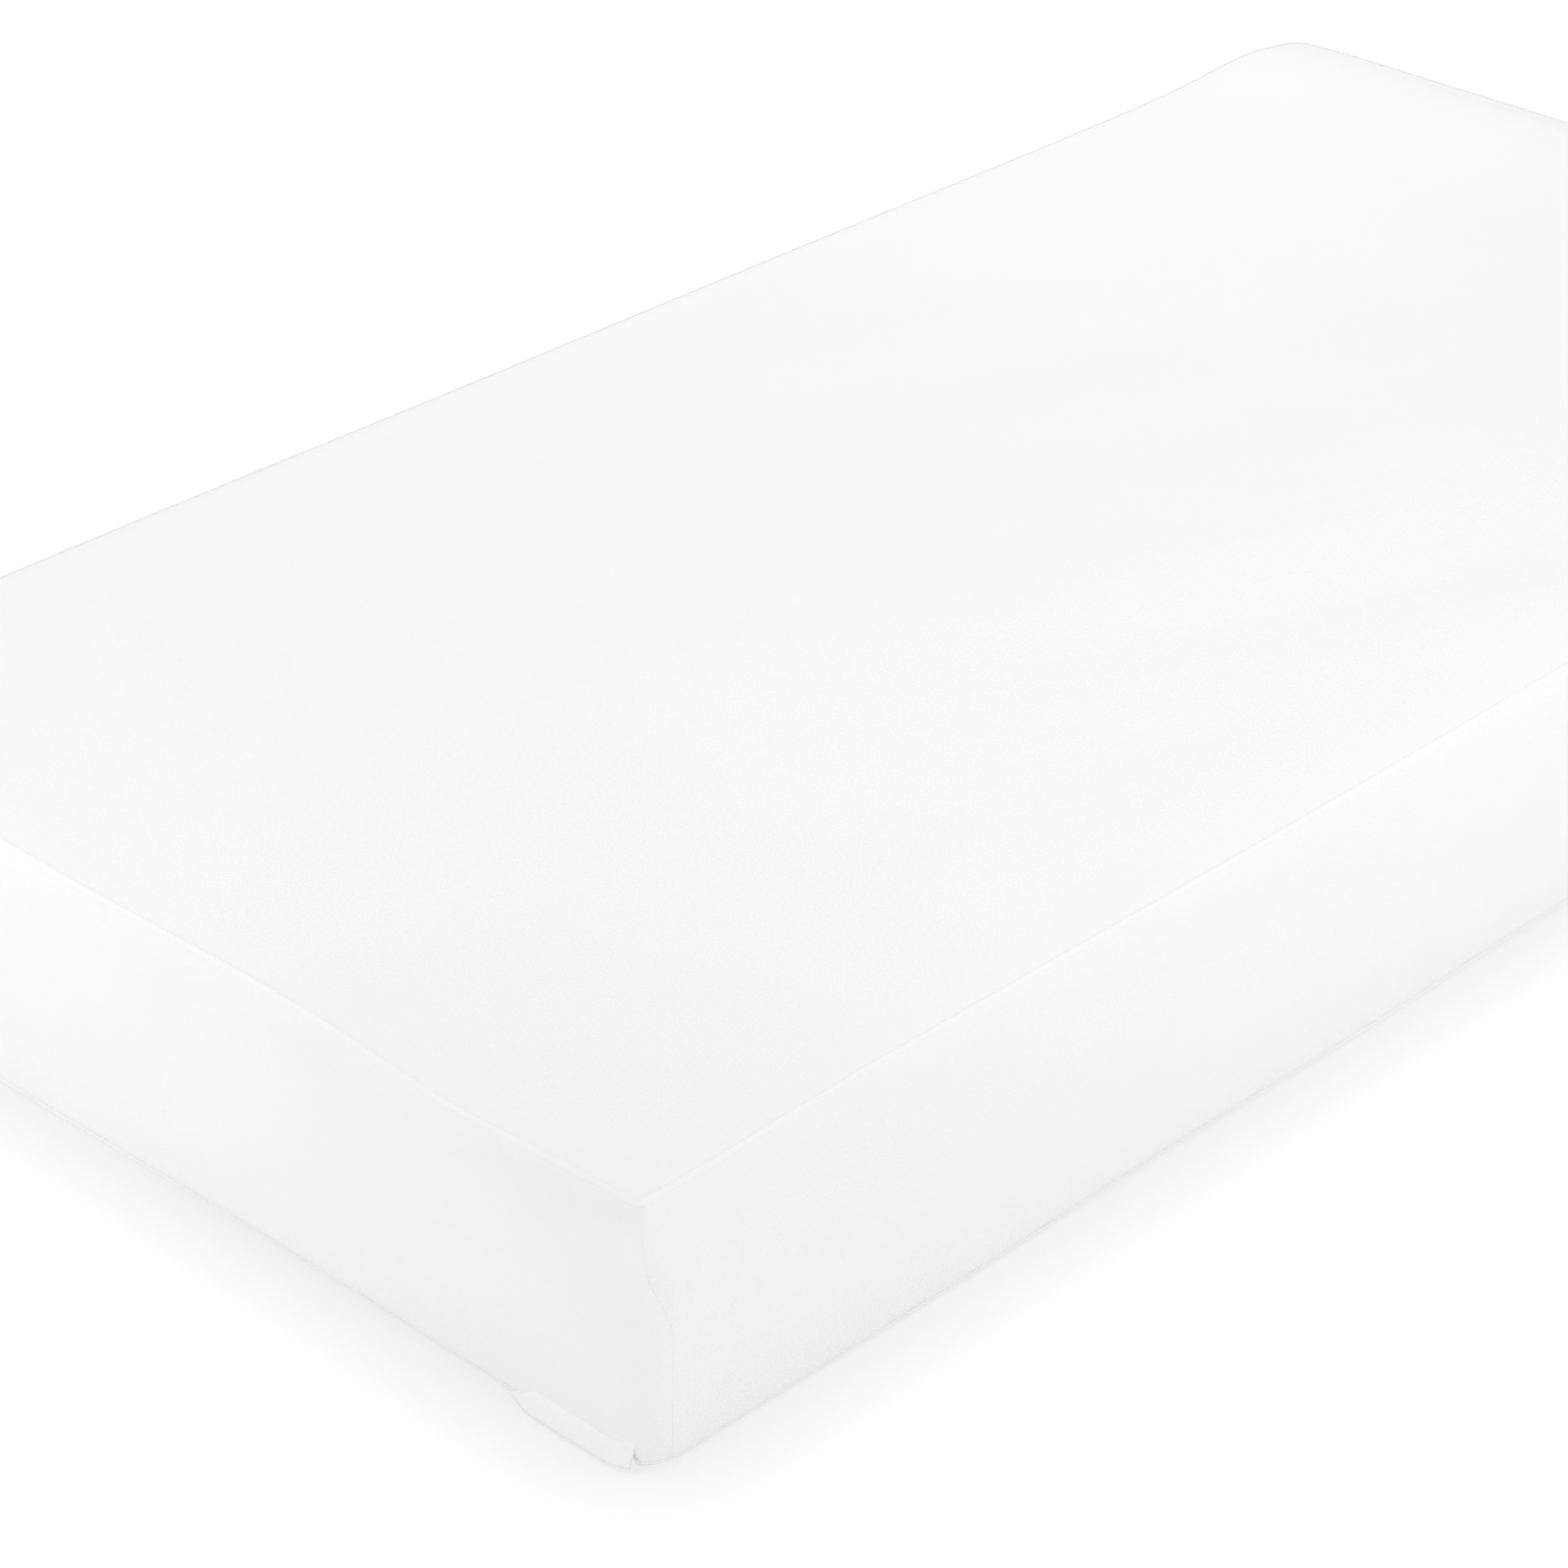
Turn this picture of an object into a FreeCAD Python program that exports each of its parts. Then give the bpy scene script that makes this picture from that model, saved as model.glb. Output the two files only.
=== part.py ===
import FreeCAD, Part
import math
import os
import Sketcher

# A memory foam mattress for a child's bed: three foams in a liner, inside a sewn cover that a zip opens.
# The origin is at the middle of the base. +X runs along the length, +Y across the width, +Z up.
# The zip runs low along the +Y side from near its -X corner, round the +X +Y corner, and along the +X end.
# An inset is a distance inwards from the cover's outer face, and an outset is a distance outwards from it.

doc = FreeCAD.newDocument("memory_foam_mattress")

# ---------------------------------------------------------------- driving dimensions, in millimetres

DIMENSIONS = [
    ("length", 1311, "outside of the border, end to end"),
    ("width", 692, "outside of the border, side to side"),
    ("height", 152, "floor to the top of the seam ridge"),
    ("corner_radius", 28, "upright corners of the cover, seen from above"),
    ("cover_thickness", 1.5, "knit fabric with its backing"),
    ("shoulder_radius", 14, "where the border turns over to the top"),
    ("top_seam_inset", 8.5, "outer edge of the seam ridge on top"),
    ("top_binding_width", 3, "across the seam ridge"),
    ("top_binding_depth", 3.2, "seam ridge, top to bottom"),
    ("top_binding_rise", 1, "seam ridge above the top panel"),
    ("top_binding_round", 1.3, "rounding of the ridge"),
    ("bottom_binding_inset", 0.3, "outer edge of the bottom seam"),
    ("bottom_binding_width", 3.2, "across the bottom seam"),
    ("bottom_binding_height", 3, "bottom seam above the floor"),
    ("bottom_binding_round", 1.2, "rounding of the bottom seam"),
    ("sock_inset", 5.5, "liner inside the cover"),
    ("sock_thickness", 0.8, "fire-barrier knit"),
    ("foam_corner_radius", 36, "liner's upright corners"),
    ("foam_shoulder_radius", 10, "liner's upper edge"),
    ("memory_foam_height", 30, "slow foam on top"),
    ("transition_foam_height", 25, "softer foam between"),
    ("corner_binding_depth", 6, "seam allowance, inwards"),
    ("corner_binding_thickness", 1.2, "two layers and their tape"),
    ("corner_binding_bottom", 32, "clear of the zip's tape"),
    ("corner_binding_top", 134, "clear of the shoulder"),
    ("corner_binding_gap", 0.05, "to the curved wall"),
    ("zip_centre_height", 12, "middle of the chain above the floor"),
    ("zip_start_inset", 55.5, "slot's start, from the -X end"),
    ("zip_end_inset", 56, "slot's end, from the -Y side"),
    ("zip_slot_top", 18.5, "lower edge of the border over the zip"),
    ("zip_zone_depth", 60, "reach inwards of the block that trims the zip's rings"),
    ("zip_tape_overlap", 8, "tape hidden past each end of the slot"),
    ("zip_tape_thickness", 0.7, "woven tape"),
    ("zip_tape_setback", 1.2, "tape's edge from the middle of the chain"),
    ("zip_tape_top", 29, "upper tape's sewn edge"),
    ("zip_coil_outset", 0.7, "coil outside the border's face"),
    ("zip_coil_gap", 0.7, "coil from the middle of the chain"),
    ("zip_coil_width", 2.6, "one coil, up and down"),
    ("zip_stop_length", 3.5, "moulded stop, along the zip"),
    ("garage_length", 34, "tab over the zip's end"),
    ("garage_cover", 12, "how far the tab covers the chain"),
    ("garage_bottom", 3.5, "tab's lower edge"),
    ("garage_height", 19, "tab, up and down"),
    ("garage_thickness", 1.9, "folded fabric"),
    ("garage_recess", 1, "room under the tab for the chain"),
    ("garage_recess_half", 4.2, "half the height of that room"),
    ("slider_length", 12, "along the zip"),
    ("slider_start", 77.5, "slider's middle from the -X end, zip closed"),
    ("slider_half_height", 4.8, "half of the plates' height"),
    ("slider_flange", 1.2, "lips beside the chain"),
    ("slider_clearance", 0.3, "to the coils and the tape"),
    ("slider_plate", 0.8, "each plate"),
    ("slider_post_width", 0.8, "divider, up and down"),
    ("slider_post_length", 3, "divider, along the zip"),
    ("slider_post_offset", 2, "divider from the slider's middle"),
    ("bridge_half_length", 4.2, "bridge that holds the pull"),
    ("bridge_leg", 1.2, "each leg along the zip, and the bar's thickness"),
    ("bridge_window", 2, "room under the bar"),
    ("bridge_width", 2, "up and down"),
    ("pull_pin_diameter", 1.2, "cross bar in the bridge"),
    ("pull_axis_rise", 0.95, "pin's axis from the front plate"),
    ("pull_length", 22, "pin to tip"),
    ("pull_width", 5.8, "up and down"),
    ("pull_eye_length", 5.8, "pin to the web"),
    ("pull_eye_width", 3, "between the arms"),
    ("pull_hole_diameter", 2.2, "grip hole near the tip"),
    ("pull_hole_setback", 4.5, "grip hole from the tip"),
    ("label_length", 60, "blank label, along the side"),
    ("label_height", 40, "up and down"),
    ("label_thickness", 0.4, "woven tape"),
    ("label_bottom", 62, "above the floor"),
    ("label_start", 420, "from the middle of the side"),
    ("cutter_margin", 10, "how far trimming blocks reach past the cover"),
]

sheet = doc.addObject("Spreadsheet::Sheet", "sheet")
for row, (alias, value, note) in enumerate(DIMENSIONS, start=1):
    sheet.set(f"A{row}", alias)
    sheet.set(f"B{row}", str(value))
    sheet.set(f"C{row}", note)
    sheet.setAlias(f"B{row}", alias)
doc.recompute()

# Heights and places that several pieces share, as expressions of the sheet.
COVER_TOP = "sheet.height - sheet.top_binding_rise"
COVER_UNDERSIDE = "sheet.height - sheet.top_binding_rise - sheet.cover_thickness"
FOAM_INSET = "sheet.sock_inset + sheet.sock_thickness"
FOAM_BOTTOM = "sheet.cover_thickness + sheet.sock_thickness"
FOAM_TOP = f"{COVER_UNDERSIDE} - sheet.sock_thickness"
TOP_PANEL_INSET = "sheet.top_seam_inset + sheet.top_binding_width"
BOTTOM_PANEL_INSET = "sheet.bottom_binding_inset + sheet.bottom_binding_width"
TAPE_INNER_INSET = "sheet.cover_thickness + sheet.zip_tape_thickness"
BACK_FACE = "sheet.width / 2"
FAR_FACE = "sheet.length / 2"
SLOT_START = "-sheet.length / 2 + sheet.zip_start_inset"
SLOT_END = "-sheet.width / 2 + sheet.zip_end_inset"
SLIDER_MIDDLE = "-sheet.length / 2 + sheet.slider_start"
SLIDER_FRONT = "sheet.zip_coil_outset + sheet.slider_clearance"

# ---------------------------------------------------------------- sketches and bodies

exported = {}


def sub_part(node, feature):
    """Name a finished feature as a piece of the mattress."""
    feature.Label = node
    exported[node] = feature
    return feature


def new_body(name):
    return doc.addObject("PartDesign::Body", name)


def new_sketch(body, name, plane="XY_Plane"):
    """A sketch on one of the body's own origin planes."""
    sketch = body.newObject("Sketcher::SketchObject", name)
    origin_plane = next(item for item in body.Origin.OriginFeatures if item.Role == plane)
    sketch.AttachmentSupport = [(origin_plane, "")]
    sketch.MapMode = "FlatFace"
    return sketch


def bind(sketch, constraint, expression):
    """Add a dimension to a sketch and tie it to the sheet."""
    index = sketch.addConstraint(constraint)
    sketch.setExpression(f"Constraints[{index}]", expression)


def rounded_rectangle(sketch, inset, radius):
    """A rectangle centred on the origin, inset from the cover's outline, with rounded corners."""
    half_length = float(sheet.length) / 2
    half_width = float(sheet.width) / 2
    start_radius = float(sheet.corner_radius)
    x = half_length - start_radius
    y = half_width - start_radius
    first = sketch.GeometryCount
    sides = [
        ((-x, -half_width), (x, -half_width)),
        ((half_length, -y), (half_length, y)),
        ((x, half_width), (-x, half_width)),
        ((-half_length, y), (-half_length, -y)),
    ]
    for (x1, y1), (x2, y2) in sides:
        line = Part.LineSegment(FreeCAD.Vector(x1, y1, 0), FreeCAD.Vector(x2, y2, 0))
        sketch.addGeometry(line, False)
    corners = [(x, -y, 270), (x, y, 0), (-x, y, 90), (-x, -y, 180)]
    up = FreeCAD.Vector(0, 0, 1)
    for cx, cy, start in corners:
        circle = Part.Circle(FreeCAD.Vector(cx, cy, 0), up, start_radius)
        arc = Part.ArcOfCircle(circle, math.radians(start), math.radians(start + 90))
        sketch.addGeometry(arc, False)
    for side in range(4):
        line = first + side
        arc = first + 4 + side
        following = first + (side + 1) % 4
        sketch.addConstraint(Sketcher.Constraint("Tangent", line, 2, arc, 1))
        sketch.addConstraint(Sketcher.Constraint("Tangent", arc, 2, following, 1))
        direction = "Horizontal" if side % 2 == 0 else "Vertical"
        sketch.addConstraint(Sketcher.Constraint(direction, line))
    for side in range(1, 4):
        sketch.addConstraint(Sketcher.Constraint("Equal", first + 4, first + 4 + side))
    bind(sketch, Sketcher.Constraint("Radius", first + 4, start_radius), radius)
    half_y = f"sheet.width / 2 - ({inset})"
    half_x = f"sheet.length / 2 - ({inset})"
    bind(sketch, Sketcher.Constraint("DistanceY", -1, 1, first, 1, -half_width), f"-({half_y})")
    bind(sketch, Sketcher.Constraint("DistanceX", -1, 1, first + 1, 1, half_length), half_x)
    bind(sketch, Sketcher.Constraint("DistanceY", -1, 1, first + 2, 1, half_width), half_y)
    bind(sketch, Sketcher.Constraint("DistanceX", -1, 1, first + 3, 1, -half_length), f"-({half_x})")


def polygon(sketch, corners):
    """A closed outline whose corners are pairs of expressions."""
    count = len(corners)
    start_size = 100
    points = []
    for i in range(count):
        angle = 2 * math.pi * i / count
        points.append(FreeCAD.Vector(start_size * math.cos(angle), start_size * math.sin(angle), 0))
    first = sketch.GeometryCount
    for i in range(count):
        sketch.addGeometry(Part.LineSegment(points[i], points[(i + 1) % count]), False)
    for i in range(count):
        following = first + (i + 1) % count
        sketch.addConstraint(Sketcher.Constraint("Coincident", first + i, 2, following, 1))
    for i, (x, y) in enumerate(corners):
        bind(sketch, Sketcher.Constraint("DistanceX", -1, 1, first + i, 1, points[i].x), x)
        bind(sketch, Sketcher.Constraint("DistanceY", -1, 1, first + i, 1, points[i].y), y)


def pad(body, sketch, bottom, top):
    """Raise a sketch from one height to another, both expressions."""
    sketch.setExpression("AttachmentOffset.Base.z", bottom)
    feature = body.newObject("PartDesign::Pad", f"{body.Name}_pad")
    feature.Profile = sketch
    feature.setExpression("Length", f"({top}) - ({bottom})")
    sketch.Visibility = False
    body.Tip = feature
    doc.recompute()
    return feature


def edges_at_height(feature, height, outer_only=False):
    """The names of the level edges at a height, or only those of the largest loop."""
    tolerance = 0.001
    shape = feature.Shape
    level = []
    for number, edge in enumerate(shape.Edges, start=1):
        box = edge.BoundBox
        if abs(box.ZMin - height) < tolerance and abs(box.ZMax - height) < tolerance:
            level.append((number, edge))
    if outer_only:
        reach = shape.BoundBox
        half_gap = 1.0
        kept = []
        for number, edge in level:
            middle = edge.valueAt((edge.FirstParameter + edge.LastParameter) / 2)
            near_x = reach.XMax - abs(middle.x) < half_gap
            near_y = reach.YMax - abs(middle.y) < half_gap
            corner = edge.Curve.TypeId == "Part::GeomCircle"
            largest = corner and edge.Curve.Radius > float(sheet.corner_radius) - half_gap
            if (near_x or near_y) and not corner or largest:
                kept.append((number, edge))
        level = kept
    return [f"Edge{number}" for number, edge in level]


def round_edges(body, feature, names, radius):
    fillet = body.newObject("PartDesign::Fillet", f"{body.Name}_fillet")
    fillet.Base = (feature, names)
    fillet.setExpression("Radius", radius)
    body.Tip = fillet
    doc.recompute()
    return fillet


def block(name, inset, radius, bottom, top, top_radius=None):
    """A solid with the mattress's rounded outline, and its upper edge rounded if asked."""
    body = new_body(name)
    sketch = new_sketch(body, f"{name}_outline")
    rounded_rectangle(sketch, inset, radius)
    feature = pad(body, sketch, bottom, top)
    if top_radius:
        names = edges_at_height(feature, feature.Shape.BoundBox.ZMax)
        round_edges(body, feature, names, top_radius)
    return body


def ring(name, outer_inset, inner_inset, bottom, top):
    """A band that follows the mattress's outline all the way round."""
    body = new_body(name)
    sketch = new_sketch(body, f"{name}_outline")
    rounded_rectangle(sketch, outer_inset, f"sheet.corner_radius - ({outer_inset})")
    rounded_rectangle(sketch, inner_inset, f"sheet.corner_radius - ({inner_inset})")
    pad(body, sketch, bottom, top)
    return body


def prism(name, corners, bottom, top, plane="XY_Plane"):
    """A solid with a straight-sided outline."""
    body = new_body(name)
    sketch = new_sketch(body, f"{name}_outline", plane)
    polygon(sketch, corners)
    pad(body, sketch, bottom, top)
    return body


def box(name, x, y, z):
    """A box between pairs of expressions, (low, high) on each axis."""
    solid = doc.addObject("Part::Box", name)
    for prop, axis, (low, high) in (("Length", "x", x), ("Width", "y", y), ("Height", "z", z)):
        solid.setExpression(prop, f"({high}) - ({low})")
        solid.setExpression(f"Placement.Base.{axis}", low)
    return solid


def cut(name, base, tool):
    feature = doc.addObject("Part::Cut", name)
    feature.Base = base
    feature.Tool = tool
    return feature


def common(name, base, tool):
    feature = doc.addObject("Part::Common", name)
    feature.Base = base
    feature.Tool = tool
    return feature


def fuse(name, *solids):
    feature = doc.addObject("Part::MultiFuse", name)
    feature.Shapes = list(solids)
    feature.Refine = True
    return feature


# ---------------------------------------------------------------- the foams and their liner


def foams():
    radius = "sheet.foam_corner_radius - sheet.sock_thickness"
    memory_bottom = f"{FOAM_TOP} - sheet.memory_foam_height"
    core_top = f"{memory_bottom} - sheet.transition_foam_height"
    shoulder = "sheet.foam_shoulder_radius - sheet.sock_thickness"
    core = block("core", FOAM_INSET, radius, FOAM_BOTTOM, core_top)
    transition = block("transition", FOAM_INSET, radius, core_top, memory_bottom)
    memory = block("memory", FOAM_INSET, radius, memory_bottom, FOAM_TOP, shoulder)
    sub_part("support_foam_core", core)
    sub_part("transition_foam_layer", transition)
    sub_part("memory_foam_layer", memory)


def inner_sock():
    """A closed liner: the foams fill it, and it lies on the bottom panel and under the top one."""
    outside = block(
        "sock_outside", "sheet.sock_inset", "sheet.foam_corner_radius",
        "sheet.cover_thickness", COVER_UNDERSIDE, "sheet.foam_shoulder_radius",
    )
    inside = block(
        "sock_inside", FOAM_INSET, "sheet.foam_corner_radius - sheet.sock_thickness",
        FOAM_BOTTOM, FOAM_TOP, "sheet.foam_shoulder_radius - sheet.sock_thickness",
    )
    sub_part("inner_sock", cut("sock", outside, inside))


# ---------------------------------------------------------------- the sewn cover


def zip_zone(name, extension, bottom, top):
    """The stretch of the cover's edge where the zip runs, lengthened at both ends by extension."""
    margin = "sheet.cutter_margin"
    start = f"{SLOT_START} - ({extension})"
    end = f"{SLOT_END} - ({extension})"
    outer_x = f"{FAR_FACE} + {margin}"
    outer_y = f"{BACK_FACE} + {margin}"
    inner_x = f"{FAR_FACE} - sheet.zip_zone_depth"
    inner_y = f"{BACK_FACE} - sheet.zip_zone_depth"
    corners = [
        (start, outer_y), (start, inner_y), (inner_x, inner_y),
        (inner_x, end), (outer_x, end), (outer_x, outer_y),
    ]
    return prism(name, corners, bottom, top)


def border_wedges():
    """Four blocks that meet on the corners' diagonals and so part the border into its panels."""
    x = "sheet.length / 2 + sheet.cutter_margin"
    y = "sheet.width / 2 + sheet.cutter_margin"
    ridge = "sheet.length / 2 - sheet.width / 2"
    top = "sheet.height + sheet.cutter_margin"
    near_middle = (f"-({ridge})", "0")
    far_middle = (ridge, "0")
    near_front = (f"-({x})", f"-({y})")
    far_front = (x, f"-({y})")
    near_back = (f"-({x})", y)
    far_back = (x, y)
    outlines = {
        "front": [near_front, far_front, far_middle, near_middle],
        "back": [far_back, near_back, near_middle, far_middle],
        "near_end": [near_back, near_front, near_middle],
        "far_end": [far_front, far_back, far_middle],
    }
    return {side: prism(f"{side}_wedge", outline, "0", top) for side, outline in outlines.items()}


def cover():
    """A thin shell, parted at the seam ridge into the top panel and the border."""
    outside = block(
        "cover_outside", "0", "sheet.corner_radius",
        "sheet.bottom_binding_height", COVER_TOP, "sheet.shoulder_radius",
    )
    inside = block(
        "cover_inside", "sheet.cover_thickness", "sheet.corner_radius - sheet.cover_thickness",
        "0", COVER_UNDERSIDE, "sheet.shoulder_radius - sheet.cover_thickness",
    )
    shell = cut("cover_shell", outside, inside)
    column_top = "sheet.height + sheet.cutter_margin"
    panel_column = block(
        "panel_column", TOP_PANEL_INSET, f"sheet.corner_radius - ({TOP_PANEL_INSET})",
        "0", column_top,
    )
    border_column = block(
        "border_column", "sheet.top_seam_inset", "sheet.corner_radius - sheet.top_seam_inset",
        "0", column_top,
    )
    sub_part("cover_top_panel", common("top_panel", shell, panel_column))
    whole_border = cut("whole_border", shell, border_column)
    slot = zip_zone("zip_slot", "0", "0", "sheet.zip_slot_top")
    border = cut("border", whole_border, slot)
    for side, wedge in border_wedges().items():
        sub_part(f"cover_{side}_panel", common(f"{side}_panel", border, wedge))
    bottom = block(
        "bottom_panel", BOTTOM_PANEL_INSET, f"sheet.corner_radius - ({BOTTOM_PANEL_INSET})",
        "0", "sheet.cover_thickness",
    )
    sub_part("cover_bottom_panel", bottom)


def seam_bindings():
    """The ridge round the top, the edge round the bottom, and the taped allowances in the corners."""
    ridge_bottom = "sheet.height - sheet.top_binding_depth"
    top = ring("top_binding", "sheet.top_seam_inset", TOP_PANEL_INSET, ridge_bottom, "sheet.height")
    names = edges_at_height(top.Tip, top.Shape.BoundBox.ZMax)
    round_edges(top, top.Tip, names, "sheet.top_binding_round")
    sub_part("top_seam_binding", top)

    bottom = ring(
        "bottom_binding", "sheet.bottom_binding_inset", BOTTOM_PANEL_INSET,
        "0", "sheet.bottom_binding_height",
    )
    names = edges_at_height(bottom.Tip, 0, outer_only=True)
    round_edges(bottom, bottom.Tip, names, "sheet.bottom_binding_round")
    sub_part("bottom_seam_binding", bottom)

    reach = "(sheet.corner_radius - sheet.cover_thickness - sheet.corner_binding_gap)"
    for side, y_sign in (("front", -1), ("back", 1)):
        for end, x_sign in (("near", -1), ("far", 1)):
            strip = doc.addObject("Part::Box", f"{side}_{end}_corner_strip")
            angle = math.degrees(math.atan2(y_sign, x_sign))
            strip.Placement = FreeCAD.Placement(
                FreeCAD.Vector(0, 0, 0), FreeCAD.Rotation(FreeCAD.Vector(0, 0, 1), angle)
            )
            strip.setExpression("Length", "sheet.corner_binding_depth")
            strip.setExpression("Width", "sheet.corner_binding_thickness")
            strip.setExpression("Height", "sheet.corner_binding_top - sheet.corner_binding_bottom")
            inner_end = f"({reach} - sheet.corner_binding_depth)"
            half = "sheet.corner_binding_thickness / 2"
            centre_x = f"{x_sign} * (sheet.length / 2 - sheet.corner_radius)"
            centre_y = f"{y_sign} * (sheet.width / 2 - sheet.corner_radius)"
            along = f"{x_sign} * {inner_end} * cos(45 deg)"
            across = f"{y_sign} * {inner_end} * sin(45 deg)"
            shift_x = f"{y_sign} * {half} * sin(45 deg)"
            shift_y = f"{x_sign} * {half} * cos(45 deg)"
            strip.setExpression("Placement.Base.x", f"{centre_x} + {along} + {shift_x}")
            strip.setExpression("Placement.Base.y", f"{centre_y} + {across} - {shift_y}")
            strip.setExpression("Placement.Base.z", "sheet.corner_binding_bottom")
            sub_part(f"{side}_{end}_corner_binding", strip)


def care_label():
    label = box(
        "label",
        ("sheet.label_start", "sheet.label_start + sheet.label_length"),
        (BACK_FACE, f"{BACK_FACE} + sheet.label_thickness"),
        ("sheet.label_bottom", "sheet.label_bottom + sheet.label_height"),
    )
    sub_part("care_label", label)


# ---------------------------------------------------------------- the zip


def zip_chain():
    """Two tapes behind the border and two coils on them, all trimmed to the zip's stretch."""
    centre = "sheet.zip_centre_height"
    zone_top = "sheet.zip_tape_top + sheet.cutter_margin"
    tape_zone = zip_zone("tape_zone", "sheet.zip_tape_overlap", "0", zone_top)
    coil_zone = zip_zone("coil_zone", "-sheet.zip_stop_length", "0", zone_top)
    tapes = {
        "upper": (f"{centre} + sheet.zip_tape_setback", "sheet.zip_tape_top"),
        "lower": ("sheet.bottom_binding_height", f"{centre} - sheet.zip_tape_setback"),
    }
    coil_near, coil_far = "sheet.zip_coil_gap", "(sheet.zip_coil_gap + sheet.zip_coil_width)"
    coils = {
        "upper": (f"{centre} + {coil_near}", f"{centre} + {coil_far}"),
        "lower": (f"{centre} - {coil_far}", f"{centre} - {coil_near}"),
    }
    for half in ("upper", "lower"):
        bottom, top = tapes[half]
        tape_ring = ring(
            f"{half}_tape_ring", "sheet.cover_thickness", TAPE_INNER_INSET, bottom, top
        )
        sub_part(f"zip_tape_{half}", common(f"{half}_tape", tape_ring, tape_zone))
        bottom, top = coils[half]
        coil_ring = ring(
            f"{half}_coil_ring", "-sheet.zip_coil_outset", "sheet.cover_thickness", bottom, top
        )
        sub_part(f"zip_coil_{half}", common(f"{half}_coil", coil_ring, coil_zone))


def zip_stops():
    """A moulded stop across both coils at each end of the slot."""
    reach = "sheet.zip_coil_gap + sheet.zip_coil_width"
    across = (f"sheet.zip_centre_height - ({reach})", f"sheet.zip_centre_height + ({reach})")
    start = box(
        "start_stop",
        (SLOT_START, f"{SLOT_START} + sheet.zip_stop_length"),
        (f"{BACK_FACE} - sheet.cover_thickness", f"{BACK_FACE} + sheet.zip_coil_outset"),
        across,
    )
    end = box(
        "end_stop",
        (f"{FAR_FACE} - sheet.cover_thickness", f"{FAR_FACE} + sheet.zip_coil_outset"),
        (SLOT_END, f"{SLOT_END} + sheet.zip_stop_length"),
        across,
    )
    sub_part("zip_start_stop", start)
    sub_part("zip_end_stop", end)


def zip_garages():
    """A tab over each end of the zip, hollowed where the chain runs in under it."""
    height = ("sheet.garage_bottom", "sheet.garage_bottom + sheet.garage_height")
    centre = "sheet.zip_centre_height"
    recess = (f"{centre} - sheet.garage_recess_half", f"{centre} + sheet.garage_recess_half")

    def garage(name, node, start, face, along_x):
        mouth = f"{start} + sheet.garage_cover"
        tab = (f"{mouth} - sheet.garage_length", mouth)
        under = (start, f"{mouth} + sheet.cutter_margin")
        tab_depth = (face, f"{face} + sheet.garage_thickness")
        under_depth = (f"{face} - sheet.cutter_margin", f"{face} + sheet.garage_recess")
        if along_x:
            solid = box(f"{name}_tab", tab, tab_depth, height)
            room = box(f"{name}_room", under, under_depth, recess)
        else:
            solid = box(f"{name}_tab", tab_depth, tab, height)
            room = box(f"{name}_room", under_depth, under, recess)
        sub_part(node, cut(name, solid, room))

    garage("start_garage", "zip_garage_start", SLOT_START, BACK_FACE, True)
    garage("end_garage", "zip_garage_end", SLOT_END, FAR_FACE, False)


def zip_slider():
    """Two plates joined by a divider, with lips beside the coils and a bridge for the pull."""
    middle = SLIDER_MIDDLE
    centre = "sheet.zip_centre_height"
    front = f"{BACK_FACE} + {SLIDER_FRONT}"
    face = f"{front} + sheet.slider_plate"
    back = f"{BACK_FACE} - ({TAPE_INNER_INSET}) - sheet.slider_clearance"
    lip_inner = f"{BACK_FACE} - sheet.cover_thickness + sheet.slider_clearance"
    half = "sheet.slider_half_height"
    length = (f"{middle} - sheet.slider_length / 2", f"{middle} + sheet.slider_length / 2")
    full = (f"{centre} - {half}", f"{centre} + {half}")
    post_half = "sheet.slider_post_width / 2"
    post_start = f"{middle} + sheet.slider_post_offset"
    leg = "sheet.bridge_leg"
    reach = "sheet.bridge_half_length"
    bridge_side = (f"{centre} - sheet.bridge_width / 2", f"{centre} + sheet.bridge_width / 2")
    bar = f"{face} + sheet.bridge_window"
    near_leg = (f"{middle} - {reach}", f"{middle} - {reach} + {leg}")
    far_leg = (f"{middle} + {reach} - {leg}", f"{middle} + {reach}")
    bar_length = (near_leg[0], far_leg[1])
    solids = [
        box("front_plate", length, (front, face), full),
        box("back_plate", length, (f"{back} - sheet.slider_plate", back), full),
        box("upper_lip", length, (lip_inner, front), (f"{full[1]} - sheet.slider_flange", full[1])),
        box("lower_lip", length, (lip_inner, front), (full[0], f"{full[0]} + sheet.slider_flange")),
        box(
            "divider", (post_start, f"{post_start} + sheet.slider_post_length"), (back, front),
            (f"{centre} - {post_half}", f"{centre} + {post_half}"),
        ),
        box("bridge_near_leg", near_leg, (face, bar), bridge_side),
        box("bridge_far_leg", far_leg, (face, bar), bridge_side),
        box("bridge_bar", bar_length, (bar, f"{bar} + {leg}"), bridge_side),
    ]
    sub_part("zip_slider", fuse("slider", *solids))


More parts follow.
